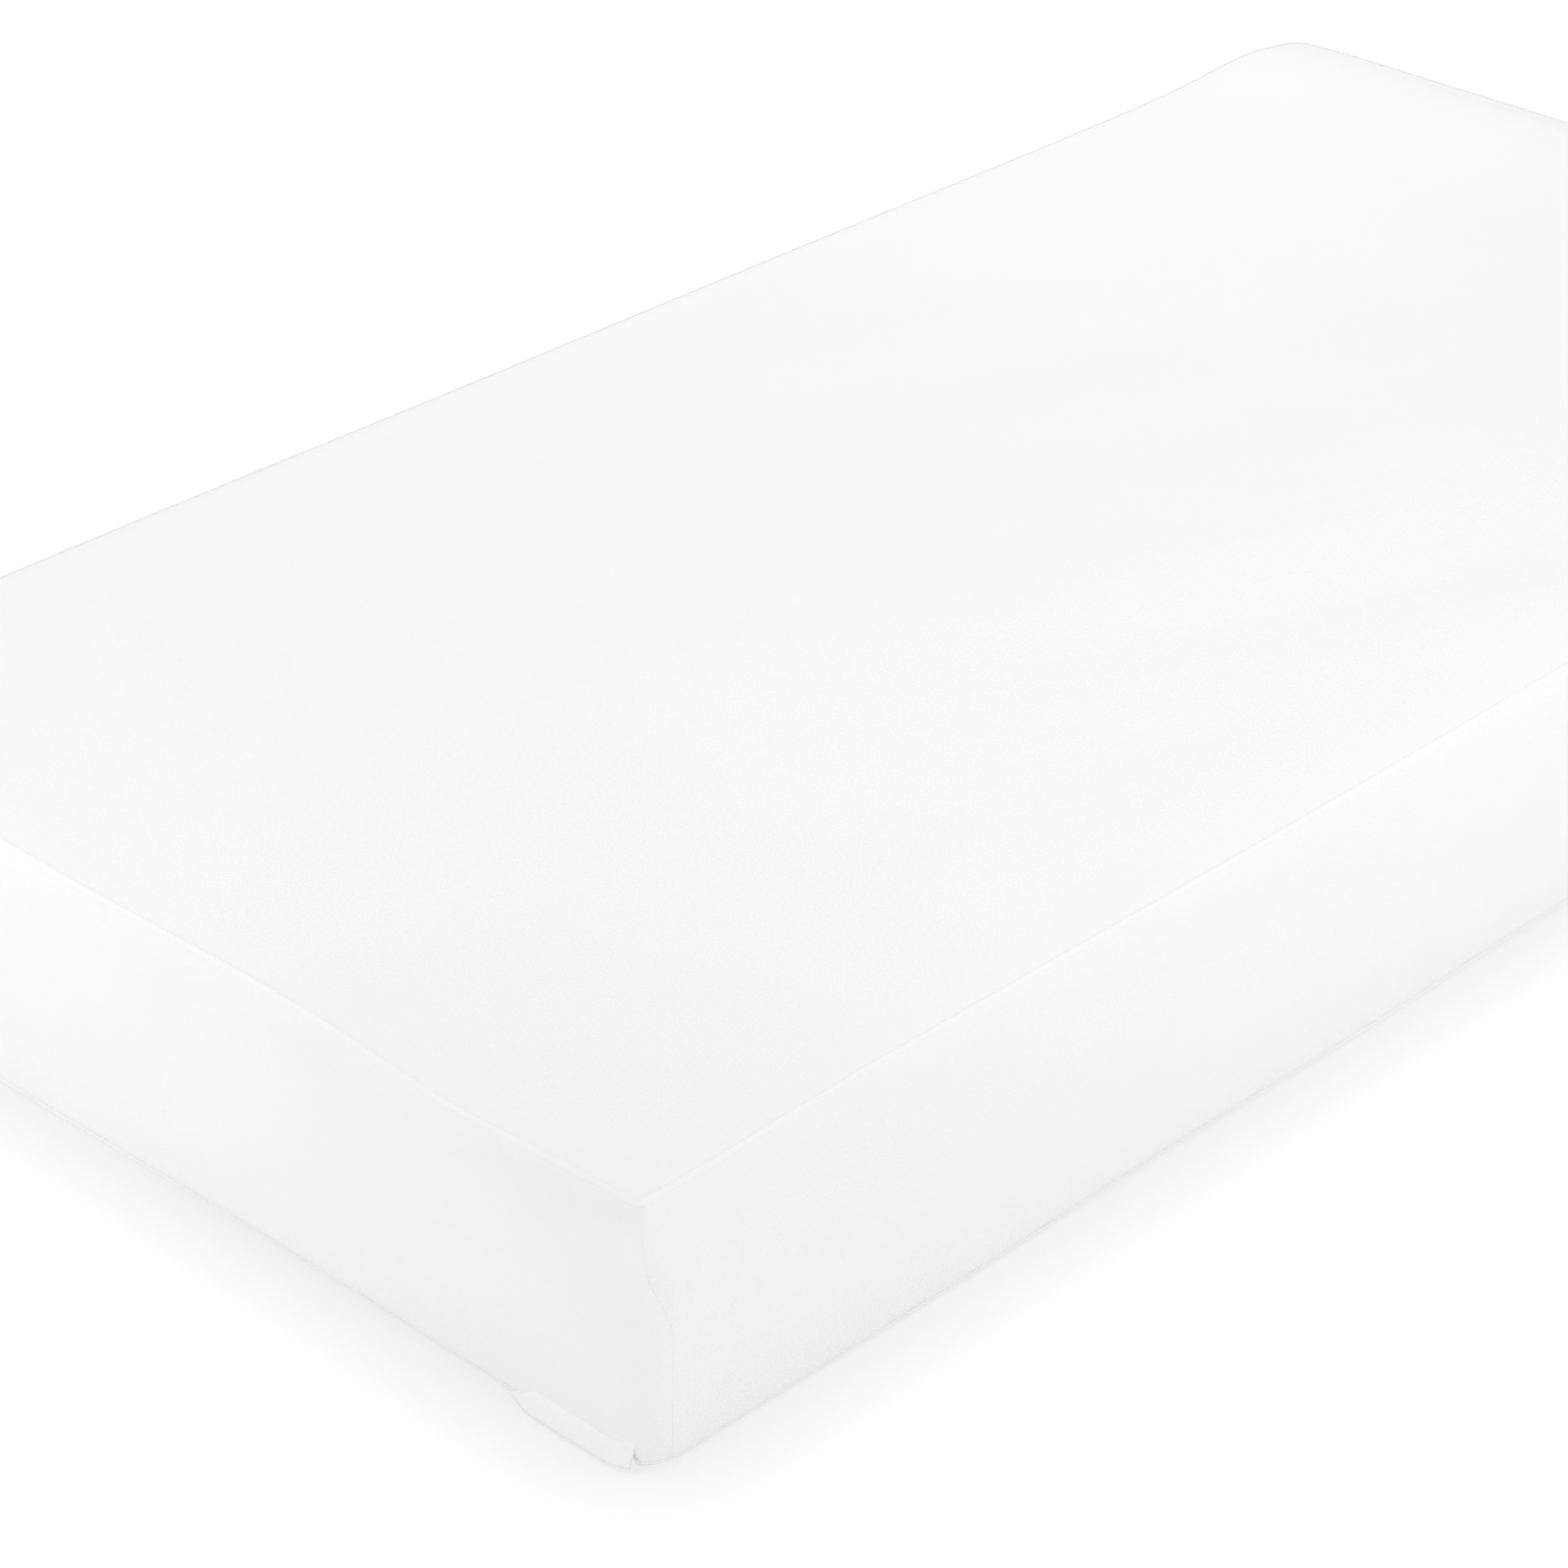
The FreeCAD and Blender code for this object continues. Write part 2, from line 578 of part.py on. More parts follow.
def zip_pull_tab():
    """A flat tab with an eye, whose cross bar turns in the slider's bridge. Closed, it lies along +X."""
    axis_y = f"{BACK_FACE} + {SLIDER_FRONT} + sheet.slider_plate + sheet.pull_axis_rise"
    thick = "sheet.pull_pin_diameter / 2"
    depth = (f"{axis_y} - {thick}", f"{axis_y} + {thick}")
    centre = "sheet.zip_centre_height"
    half = "sheet.pull_width / 2"
    tip = f"{SLIDER_MIDDLE} + sheet.pull_length - {half}"
    tall = (f"{centre} - {half}", f"{centre} + {half}")
    plate = box("pull_plate", (SLIDER_MIDDLE, tip), depth, tall)
    eye = box(
        "pull_eye", (f"{SLIDER_MIDDLE} - {thick}", f"{SLIDER_MIDDLE} + sheet.pull_eye_length"), depth,
        (f"{centre} - sheet.pull_eye_width / 2", f"{centre} + sheet.pull_eye_width / 2"),
    )

    def disc(name, radius, x):
        """A disc that lies in the tab, its axis across the zip."""
        solid = doc.addObject("Part::Cylinder", name)
        solid.Placement = FreeCAD.Placement(
            FreeCAD.Vector(0, 0, 0), FreeCAD.Rotation(FreeCAD.Vector(1, 0, 0), -90)
        )
        solid.setExpression("Radius", radius)
        solid.setExpression("Height", "sheet.pull_pin_diameter")
        solid.setExpression("Placement.Base.x", x)
        solid.setExpression("Placement.Base.y", depth[0])
        solid.setExpression("Placement.Base.z", centre)
        return solid

    rounded_tip = disc("pull_tip", half, tip)
    hole_x = f"{SLIDER_MIDDLE} + sheet.pull_length - sheet.pull_hole_setback"
    grip_hole = disc("pull_hole", "sheet.pull_hole_diameter / 2", hole_x)
    pin = doc.addObject("Part::Cylinder", "pull_pin")
    pin.setExpression("Radius", thick)
    pin.setExpression("Height", "sheet.pull_width")
    pin.setExpression("Placement.Base.x", SLIDER_MIDDLE)
    pin.setExpression("Placement.Base.y", axis_y)
    pin.setExpression("Placement.Base.z", f"{centre} - {half}")
    outline = fuse("pull_outline", plate, rounded_tip)
    with_eye = cut("pull_with_eye", outline, eye)
    with_hole = cut("pull_with_hole", with_eye, grip_hole)
    sub_part("zip_pull_tab", fuse("pull", with_hole, pin))


# ---------------------------------------------------------------- build, check and write

foams()
inner_sock()
cover()
seam_bindings()
care_label()
zip_chain()
zip_stops()
zip_garages()
zip_slider()
zip_pull_tab()
doc.recompute()

for item in doc.Objects:
    if "Invalid" in item.State or "Error" in item.State:
        raise RuntimeError(f"{item.Name} failed: {item.State}")
for node, feature in exported.items():
    if feature.Shape.isNull() or not feature.Shape.isValid():
        raise RuntimeError(f"{node} has no valid shape")

os.makedirs("parts", exist_ok=True)
for node, feature in exported.items():
    feature.Shape.exportStep(f"parts/{node}.step")
    extent = feature.Shape.optimalBoundingBox(False)
    volume = feature.Shape.Volume / 1000
    solids = len(feature.Shape.Solids)
    print(f"{node}: {solids} solid, {volume:.2f} cm3, x {extent.XMin:.2f} to {extent.XMax:.2f}, "
          f"y {extent.YMin:.2f} to {extent.YMax:.2f}, z {extent.ZMin:.2f} to {extent.ZMax:.2f}")
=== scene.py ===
import math

import bpy
import numpy as np
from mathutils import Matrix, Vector
from mathutils.bvhtree import BVHTree


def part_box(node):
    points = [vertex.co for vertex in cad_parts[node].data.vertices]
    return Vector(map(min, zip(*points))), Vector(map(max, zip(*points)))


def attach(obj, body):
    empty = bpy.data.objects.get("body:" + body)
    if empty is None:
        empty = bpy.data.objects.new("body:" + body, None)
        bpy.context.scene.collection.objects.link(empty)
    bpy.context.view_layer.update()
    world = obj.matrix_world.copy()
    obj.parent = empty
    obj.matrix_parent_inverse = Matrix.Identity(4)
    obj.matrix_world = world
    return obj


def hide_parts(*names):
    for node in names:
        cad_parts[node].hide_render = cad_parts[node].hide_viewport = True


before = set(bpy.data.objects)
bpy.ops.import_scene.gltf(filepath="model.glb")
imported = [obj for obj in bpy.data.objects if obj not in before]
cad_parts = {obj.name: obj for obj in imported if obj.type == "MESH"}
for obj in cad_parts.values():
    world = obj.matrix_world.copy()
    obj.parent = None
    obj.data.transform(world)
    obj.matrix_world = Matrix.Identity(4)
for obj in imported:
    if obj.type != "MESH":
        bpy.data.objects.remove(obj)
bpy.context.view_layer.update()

# The looks of a memory foam mattress: a sewn knit cover over a liner and three foams, closed by a zip.
# Lengths are in metres. A side is described in its own terms: "along" runs along it, "out" away from it.
# All random numbers come from one generator, so the order of the calls at the end matters.

MM = 0.001


def node_box(name):
    low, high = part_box(name)
    return Vector(low), Vector(high)


HALF_LENGTH = node_box("cover_far_end_panel")[1].x
HALF_WIDTH = node_box("cover_back_panel")[1].y
TOP = node_box("top_seam_binding")[1].z
FABRIC = node_box("cover_bottom_panel")[1].z

BODY = "mattress"
random_numbers = np.random.default_rng(11)

# --- smooth functions


def ramp(x, low, high):
    """0 below low, 1 above high, and smooth between."""
    t = np.clip((x - low) / (high - low), 0.0, 1.0)
    return t * t * (3.0 - 2.0 * t)


def bell(x, centre, width):
    return np.exp(-(((x - centre) / width) ** 2))


def flattened(wave, power):
    """A sine or cosine with flatter crests: the lower the power, the flatter."""
    return np.sign(wave) * np.abs(wave) ** power


class Waves:
    """A smooth random relief: a sum of sine waves whose crests lie within a spread of one heading."""

    def __init__(self, count, shortest, longest, heading, spread):
        self.length = random_numbers.uniform(shortest, longest, count)
        angle = math.radians(heading) + math.radians(spread) * random_numbers.uniform(-1, 1, count)
        self.across = np.stack([-np.sin(angle), np.cos(angle)])
        self.phase = random_numbers.uniform(0, 2 * math.pi, count)
        self.share = 1.0 / math.sqrt(count / 2)

    def __call__(self, x, y):
        total = np.zeros(np.broadcast(x, y).shape)
        for i in range(len(self.length)):
            reach = self.across[0, i] * x + self.across[1, i] * y
            total += np.sin(2 * math.pi * reach / self.length[i] + self.phase[i])
        return total * self.share


class Puckers:
    """Small gathers that run away from a seam, each with its own place, size, lean and reach."""

    def __init__(self, low, high, pitch, width, height, reach):
        count = max(1, int((high - low) / pitch))
        step = (high - low) / count
        self.place = low + step * (np.arange(count) + random_numbers.uniform(0.1, 0.9, count))
        self.width = width * random_numbers.uniform(0.6, 1.5, count)
        self.height = height * random_numbers.uniform(-1.0, 1.0, count)
        self.lean = random_numbers.uniform(-0.5, 0.5, count)
        self.reach = reach * random_numbers.uniform(0.5, 1.6, count)

    def __call__(self, along, away):
        total = np.zeros(np.broadcast(along, away).shape)
        for i in range(len(self.place)):
            near = np.exp(-away / self.reach[i])
            spread = self.width[i] * (1.0 + 0.6 * away / self.reach[i])
            total += self.height[i] * near * bell(along - self.lean[i] * away, self.place[i], spread)
        return total


# --- meshes


def unit(vectors):
    return vectors / np.maximum(np.linalg.norm(vectors, axis=-1, keepdims=True), 1e-12)


def turned_right(vectors):
    """Vectors in plan, turned a quarter turn clockwise."""
    return np.stack([vectors[:, 1], -vectors[:, 0], np.zeros(len(vectors))], axis=-1)


def lengths_along(points, axis=0):
    """How far each point of a line or a grid lies from the first one, measured along it."""
    first = np.take(points, [0], axis)
    return np.cumsum(np.linalg.norm(np.diff(points, axis=axis, prepend=first), axis=-1), axis=axis)


def along_curve(curve, fractions):
    """Points at fractions of a curve's length."""
    lengths = lengths_along(curve)
    return np.stack([np.interp(fractions * lengths[-1], lengths, values) for values in curve.T], axis=-1)


def add_object(name, data):
    piece = bpy.data.objects.new(name, data)
    bpy.context.scene.collection.objects.link(piece)
    return piece


def mesh_piece(name, points, faces, cloth=None):
    """A mesh object from its points and faces. cloth gives each point's place on the flat fabric."""
    mesh = bpy.data.meshes.new(name)
    points = np.asarray(points, dtype=float).reshape(-1, 3)
    mesh.from_pydata(points.tolist(), [], [tuple(f) for f in faces])
    mesh.update()
    if cloth is not None:
        corners = np.empty(len(mesh.loops), dtype=np.int32)
        mesh.loops.foreach_get("vertex_index", corners)
        layer = mesh.uv_layers.new(name="cloth")
        layer.data.foreach_set("uv", np.asarray(cloth, dtype=float).reshape(-1, 2)[corners].ravel())
    mesh.shade_smooth()
    return add_object(name, mesh)


def grid_faces(rows, columns, wrap=False, keep=None):
    """Quads of a grid whose points run row by row. keep says which cells exist."""
    r, c = np.meshgrid(np.arange(rows - 1), np.arange(columns if wrap else columns - 1), indexing="ij")
    following = (c + 1) % columns
    quads = np.stack([
        r * columns + c, r * columns + following,
        (r + 1) * columns + following, (r + 1) * columns + c,
    ], axis=-1)
    if keep is not None:
        quads = quads[keep]
    return quads.reshape(-1, 4)


def grid_normals(grid):
    """Unit normals of a grid of points, by rows and columns."""
    return unit(np.cross(np.gradient(grid, axis=1), np.gradient(grid, axis=0)))


def settle(piece):
    """Apply the piece's modifiers."""
    bpy.context.view_layer.update()
    graph = bpy.context.evaluated_depsgraph_get()
    mesh = bpy.data.meshes.new_from_object(piece.evaluated_get(graph))
    piece.modifiers.clear()
    piece.data = mesh


def thicken(piece, thickness):
    """Give an open skin its fabric's thickness, inwards."""
    solid = piece.modifiers.new("thickness", "SOLIDIFY")
    solid.thickness = thickness
    solid.offset = -1.0
    settle(piece)


def weld(piece):
    """Join the points that meet along the spine of a rounded block."""
    piece.modifiers.new("weld", "WELD").merge_threshold = 0.02 * MM
    settle(piece)


def drop_loose_points(points, cloth, faces):
    """The same faces over only those points that they use."""
    used = np.unique(faces)
    renumber = np.full(len(points), -1)
    renumber[used] = np.arange(len(used))
    return points[used], cloth[used], renumber[faces]


def finish_piece(piece, slot, node):
    """Give the piece its slot's material, attach it to its body, and hide the CAD node that it stands
    for.
    """
    piece.data.materials.clear()
    piece.data.materials.append(LOOKS[slot])
    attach(piece, BODY)
    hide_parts(node)


# --- materials


class Nodes:
    """Writes a material's node tree."""

    def __init__(self, name):
        self.material = bpy.data.materials.new(name)
        self.material.use_nodes = True
        self.tree = self.material.node_tree
        self.shader = self.tree.nodes["Principled BSDF"]
        self.coordinates = self.add("ShaderNodeTexCoord", {}).outputs["Object"]

    def wire(self, node, inputs):
        """Wire an output into each listed input of a node, or set a plain value there."""
        for key, value in inputs.items():
            if isinstance(value, bpy.types.NodeSocket):
                self.tree.links.new(value, node.inputs[key])
            else:
                node.inputs[key].default_value = value

    def add(self, kind, inputs, **settings):
        node = self.tree.nodes.new(kind)
        for key, value in settings.items():
            setattr(node, key, value)
        self.wire(node, inputs)
        return node

    def math(self, operation, *values):
        return self.add("ShaderNodeMath", dict(enumerate(values)), operation=operation).outputs[0]

    def cloth(self):
        """The place on the flat fabric: along its rows, and up its columns."""
        place = self.add("ShaderNodeUVMap", {}, uv_map="cloth")
        return self.add("ShaderNodeSeparateXYZ", {0: place.outputs[0]}).outputs

    def noise(self, scale, detail, roughness):
        return self.add("ShaderNodeTexNoise", {
            "Vector": self.coordinates, "Scale": scale, "Detail": detail, "Roughness": roughness,
        }).outputs["Fac"]

    def tint(self, colour, value, low):
        """Multiply a colour by a value spread between low and 1."""
        spread = self.add("ShaderNodeMapRange", {"Value": value, "To Min": low})
        inputs = {"Factor": 1.0, 6: colour, 7: spread.outputs[0]}
        return self.add("ShaderNodeMix", inputs, data_type="RGBA", blend_type="MULTIPLY").outputs[2]

    def bump(self, height, strength, distance, **below):
        """A bump. below is Normal=another bump, to lie on top of it."""
        inputs = {"Strength": strength, "Distance": distance, "Height": height, **below}
        return self.add("ShaderNodeBump", inputs).outputs[0]

    def finish(self, colour, normal, grain, gain, smoothest, sheen=0.0, metallic=0.0):
        """Wire the shader. The roughness is smoothest where the grain is 0 and rises with it by gain."""
        roughness = self.math("ADD", self.math("MULTIPLY", grain, gain), smoothest)
        self.wire(self.shader, {
            "Base Color": colour, "Normal": normal, "Roughness": roughness,
            "Sheen Weight": sheen, "Sheen Roughness": 0.5, "Metallic": metallic,
        })
        return self.material


WALE = 0.95 * MM       # knit columns, side by side
COURSE = 0.75 * MM     # knit rows, one above another


def knit(name, colour, depth=0.10 * MM, strength=0.35):
    """A close jersey knit, whose loops stack in columns across the cloth."""
    nodes = Nodes(name)
    parts = nodes.cloth()
    column = nodes.math("DIVIDE", parts[0], WALE)
    row = nodes.math("DIVIDE", parts[1], COURSE)
    fraction = nodes.math("FRACT", column)
    middle = nodes.math("ABSOLUTE", nodes.math("SUBTRACT", fraction, 0.5))
    slanted = nodes.math("ADD", row, middle)
    loops = nodes.math("SINE", nodes.math("MULTIPLY", slanted, 2 * math.pi))
    ribs = nodes.math("SINE", nodes.math("MULTIPLY", fraction, math.pi))
    stitch = nodes.math("MULTIPLY", nodes.math("ADD", loops, 1.6), ribs)
    fuzz = nodes.noise(1400.0, 3.0, 0.6)
    yarn = nodes.math("ADD", stitch, nodes.math("MULTIPLY", fuzz, 1.6))
    soft = nodes.noise(55.0, 3.0, 0.55)
    fine = nodes.bump(yarn, strength, depth)
    normal = nodes.bump(soft, 0.20, 0.5 * MM, Normal=fine)
    mottled = nodes.tint(colour, nodes.noise(9.0, 4.0, 0.6), 0.985)
    shaded = nodes.tint(mottled, stitch, 0.985)
    return nodes.finish(shaded, normal, fuzz, 0.12, 0.82, sheen=0.05)


def woven(name, colour, pitch=0.55 * MM, strength=0.4):
    """A plain woven tape: threads over and under one another."""
    nodes = Nodes(name)
    parts = nodes.cloth()
    turns = 2 * math.pi / pitch
    warp = nodes.math("SINE", nodes.math("MULTIPLY", parts[0], turns))
    weft = nodes.math("SINE", nodes.math("MULTIPLY", parts[1], turns))
    threads = nodes.math("MULTIPLY", warp, weft)
    fibres = nodes.noise(1800.0, 3.0, 0.6)
    height = nodes.math("ADD", threads, nodes.math("MULTIPLY", fibres, 0.9))
    normal = nodes.bump(height, strength, 0.08 * MM)
    mottled = nodes.tint(colour, nodes.noise(30.0, 4.0, 0.6), 0.965)
    shaded = nodes.tint(mottled, threads, 0.97)
    return nodes.finish(shaded, normal, fibres, 0.15, 0.75, sheen=0.1)


def foam(name, colour, cell, depth):
    """Open-cell foam: a skin of small rounded pores."""
    nodes = Nodes(name)
    pores = nodes.add("ShaderNodeTexVoronoi", {
        "Vector": nodes.coordinates, "Scale": 1.0 / cell, "Smoothness": 0.6,
    }, feature="SMOOTH_F1").outputs["Distance"]
    grain = nodes.noise(0.4 / cell, 4.0, 0.6)
    normal = nodes.bump(nodes.math("ADD", pores, grain), 0.7, depth)
    # Painted shade: each pore is darker towards its middle, where its bump sinks deepest.
    pore_painted_shade = nodes.tint(colour, pores, 0.86)
    mottled = nodes.tint(pore_painted_shade, nodes.noise(12.0, 4.0, 0.6), 0.95)
    return nodes.finish(mottled, normal, grain, 0.1, 0.85)


def moulded(name, colour):
    """Nylon coil: smooth and slightly glossy, with a faint grain."""
    nodes = Nodes(name)
    streaks = nodes.noise(900.0, 2.0, 0.5)
    normal = nodes.bump(streaks, 0.15, 0.03 * MM)
    tinted = nodes.tint(colour, nodes.noise(60.0, 3.0, 0.5), 0.96)
    return nodes.finish(tinted, normal, streaks, 0.15, 0.32)


def plated(name, colour):
    """Die-cast metal with a satin plating, rubbed a little brighter in places."""
    nodes = Nodes(name)
    cast = nodes.noise(700.0, 4.0, 0.6)
    rubbed = nodes.noise(220.0, 3.0, 0.5)
    normal = nodes.bump(cast, 0.12, 0.05 * MM)
    return nodes.finish(nodes.tint(colour, rubbed, 0.9), normal, rubbed, 0.2, 0.2, metallic=1.0)


# The look of each material slot.
LOOKS = {
    "cover_knit": knit("cover_knit", (0.95, 0.95, 0.95, 1)),
    # Painted light: the base is the cover's knit made brighter and a little flatter, so that the fold
    # turned up at the foot of the near end looks lit.
    "cover_base": knit("cover_base_knit_painted_light", (0.99, 0.99, 0.99, 1), depth=0.07 * MM),
    "sock_knit": knit("sock_knit", (0.80, 0.79, 0.75, 1), depth=0.25 * MM, strength=0.6),
    "seam_tape": woven("seam_tape_weave", (0.99, 0.99, 0.99, 1), pitch=0.8 * MM),
    "zip_tape": woven("zip_tape_weave", (0.86, 0.86, 0.86, 1)),
    "label_tape": woven("label_satin", (0.90, 0.90, 0.89, 1), pitch=0.35 * MM),
    "zip_coil": moulded("zip_coil_nylon", (0.84, 0.84, 0.83, 1)),
    "zip_metal": plated("zip_slider_plating", (0.80, 0.80, 0.81, 1)),
    "support_foam": foam("support_foam_cells", (0.70, 0.74, 0.80, 1), 1.1 * MM, 0.5 * MM),
    "transition_foam": foam("transition_foam_cells", (0.86, 0.82, 0.66, 1), 0.9 * MM, 0.4 * MM),
    "memory_foam": foam("memory_foam_cells", (0.90, 0.88, 0.80, 1), 0.6 * MM, 0.25 * MM),
}

# --- the cover's outline

# Each side has its direction along it and out of it, its half-length, and its distance from the middle.
# The sides follow one another anticlockwise, seen from above. CORNERS gives the corner where each ends.
SIDES = {
    "front": {"along": (1, 0), "out": (0, -1), "half": HALF_LENGTH, "reach": HALF_WIDTH},
    "far_end": {"along": (0, 1), "out": (1, 0), "half": HALF_WIDTH, "reach": HALF_LENGTH},
    "back": {"along": (-1, 0), "out": (0, 1), "half": HALF_LENGTH, "reach": HALF_WIDTH},
    "near_end": {"along": (0, -1), "out": (-1, 0), "half": HALF_WIDTH, "reach": HALF_LENGTH},
}
ORDER = list(SIDES)
ZIP_SIDES = ("back", "far_end")

CORNER_RADIUS = 27 * MM       # upright corners, low on the border
PINCH_DEPTH = 45 * MM         # how far below the seam the corner has opened out
SHOULDER = 16 * MM            # height of the rounded shoulder under the top seam
SEAM_DROP = 2.2 * MM          # top seam below the highest point of the ridge
GROOVE = 0.20 * MM            # depth of a stitched groove
CORNER_BLEND = 70 * MM        # how far from a corner its own values take over
UNDER_ANGLE = math.radians(50)       # how far the lower edge turns under before its seam
SHOULDER_ANGLE = math.radians(86)    # how far the shoulder turns over before its seam

# At the corner where a side ends, in millimetres: the top seam's height above its usual level and its
# inset, the lower seam's height and inset, the border's bulge, and how tightly the top is pinched.
CORNERS = {
    "front": {"lift": 1.2, "inset": 3.5, "low": 3.0, "under": 3.0, "bulge": 0.5, "pinch": 9},
    "far_end": {"lift": 0.5, "inset": 6.0, "low": 3.0, "under": 1.5, "bulge": 0.5, "pinch": 16},
    "back": {"lift": 1.5, "inset": 3.5, "low": 3.0, "under": 2.0, "bulge": 0.5, "pinch": 9},
    "near_end": {"lift": 1.6, "inset": 4.2, "low": 3.0, "under": 2.6, "bulge": 2.8, "pinch": 8},
}


def blended(side, along, value, key):
    """A side's own value, giving way to the shared value of the corner at each of its ends."""
    half = SIDES[side]["half"]
    before = CORNERS[ORDER[ORDER.index(side) - 1]][key] * MM
    after = CORNERS[side][key] * MM
    at_start = 1.0 - ramp(along + half, 12 * MM, CORNER_BLEND)
    at_end = 1.0 - ramp(half - along, 12 * MM, CORNER_BLEND)
    return value * (1 - at_start) * (1 - at_end) + before * at_start + after * at_end


def seam_lift(side, along):
    """The top seam sags and lifts a little along each side."""
    if side == "near_end":
        own = -3.8 * MM * bell(along, 0.200, 0.055) + 0.7 * MM * np.sin(along / 0.045)
    elif side == "back":
        own = 0.6 * MM * np.sin(along / 0.13) + 5.0 * MM * bell(along, -0.585, 0.06)
    elif side == "far_end":
        own = 3.2 * MM + 2.0 * MM * bell(along, 0.06, 0.15) + 0.6 * MM * np.sin(along / 0.08)
    else:
        own = 0.6 * MM * np.sin(along / 0.17 + 1.0)
    return blended(side, along, own, "lift")


def seam_inset(side, along):
    """How far in from the border's face the top seam lies."""
    if side == "front":
        own = (5.5 + 2.5 * ramp(along, -0.60, -0.48)) * MM + 0.7 * MM * np.sin(along / 0.10)
    elif side == "near_end":
        own = 5.4 * MM + 0.8 * MM * np.sin(along / 0.06)
    else:
        own = 6.5 * MM + 0.9 * MM * np.sin(along / 0.09)
    return blended(side, along, own, "inset")


FOLD_START, FOLD_END = 0.250, 0.3335     # the low fold beside the near corner, along the near end
FOLD_TOP, FOLD_DEPTH = 22 * MM, 5.0 * MM


def low_fold(along):
    """1 inside the low fold, which tapers away from the corner and stops short beside it."""
    return ramp(along, FOLD_START, FOLD_START + 24 * MM) * (1 - ramp(along, FOLD_END - 3 * MM, FOLD_END))


def low_seam(side, along):
    """Height and inset of the lower seam, where the border meets the bottom panel."""
    if side in ZIP_SIDES:
        height, inset = 3.0 * MM + 0 * along, 1.2 * MM + 0 * along
    elif side == "near_end":
        tuck = ramp(along, -0.16, 0.10)
        height, inset = (2.6 + 1.6 * tuck) * MM, (2.2 + 2.8 * tuck) * MM
    else:
        height = 2.8 * MM + 0.4 * MM * np.sin(along / 0.07)
        inset = 2.6 * MM + 0.6 * MM * np.sin(along / 0.05 + 1.0)
    height = blended(side, along, height, "low")
    inset = blended(side, along, inset, "under")
    if side == "near_end":
        fold = low_fold(along)
        height = height + (4.0 * MM - height) * fold
        inset = inset + (1.5 * MM - inset) * fold
    return height, inset


def border_bulge(side, along):
    own = {"front": 4.6, "near_end": 5.0, "back": 1.6, "far_end": 1.6}[side] * MM
    return blended(side, along, own + 0.8 * MM * np.sin(along / 0.12 + 2.0), "bulge")


def corner_radius(below_seam, pinch):
    """Tight at the pinched top corner, and round below it."""
    return pinch + (CORNER_RADIUS - pinch) * ramp(below_seam, 2 * MM, PINCH_DEPTH)


def seam_angle(corner, height):
    """Where an upright seam lies on its rounded corner, from the face of the side that ends there."""
    if corner == "near_end":
        return np.radians(50 + 25 * ramp(-height, -118 * MM, -72 * MM))
    return np.radians(45 + 6 * np.sin(height / 0.03 + ORDER.index(corner)))


CORNER_COLUMNS = 20
COLUMN_PITCH = 2.05 * MM
LOW_ROWS, WALL_ROWS, SHOULDER_ROWS = 9, 26, 22


def side_columns(side):
    """Column parameters: 0 to 1 on the straight, below 0 and above 1 on the corners."""
    straight = np.linspace(0, 1, int(2 * SIDES[side]["half"] / COLUMN_PITCH))
    corner = np.linspace(0, 1, CORNER_COLUMNS, endpoint=False) ** 1.5
    return np.concatenate([corner - 1, straight, (2 - corner)[::-1]])


def profile_rows():
    """Row parameters: -1 to 0 on the turned-under edge, 0 to 1 up the wall, 1 to 2 over the shoulder."""
    low = np.linspace(-1, 0, LOW_ROWS, endpoint=False)
    wall = np.linspace(0, 1, WALL_ROWS, endpoint=False)
    shoulder = 2 - np.linspace(1, 0, SHOULDER_ROWS) ** 1.35
    return np.concatenate([low, wall, shoulder])


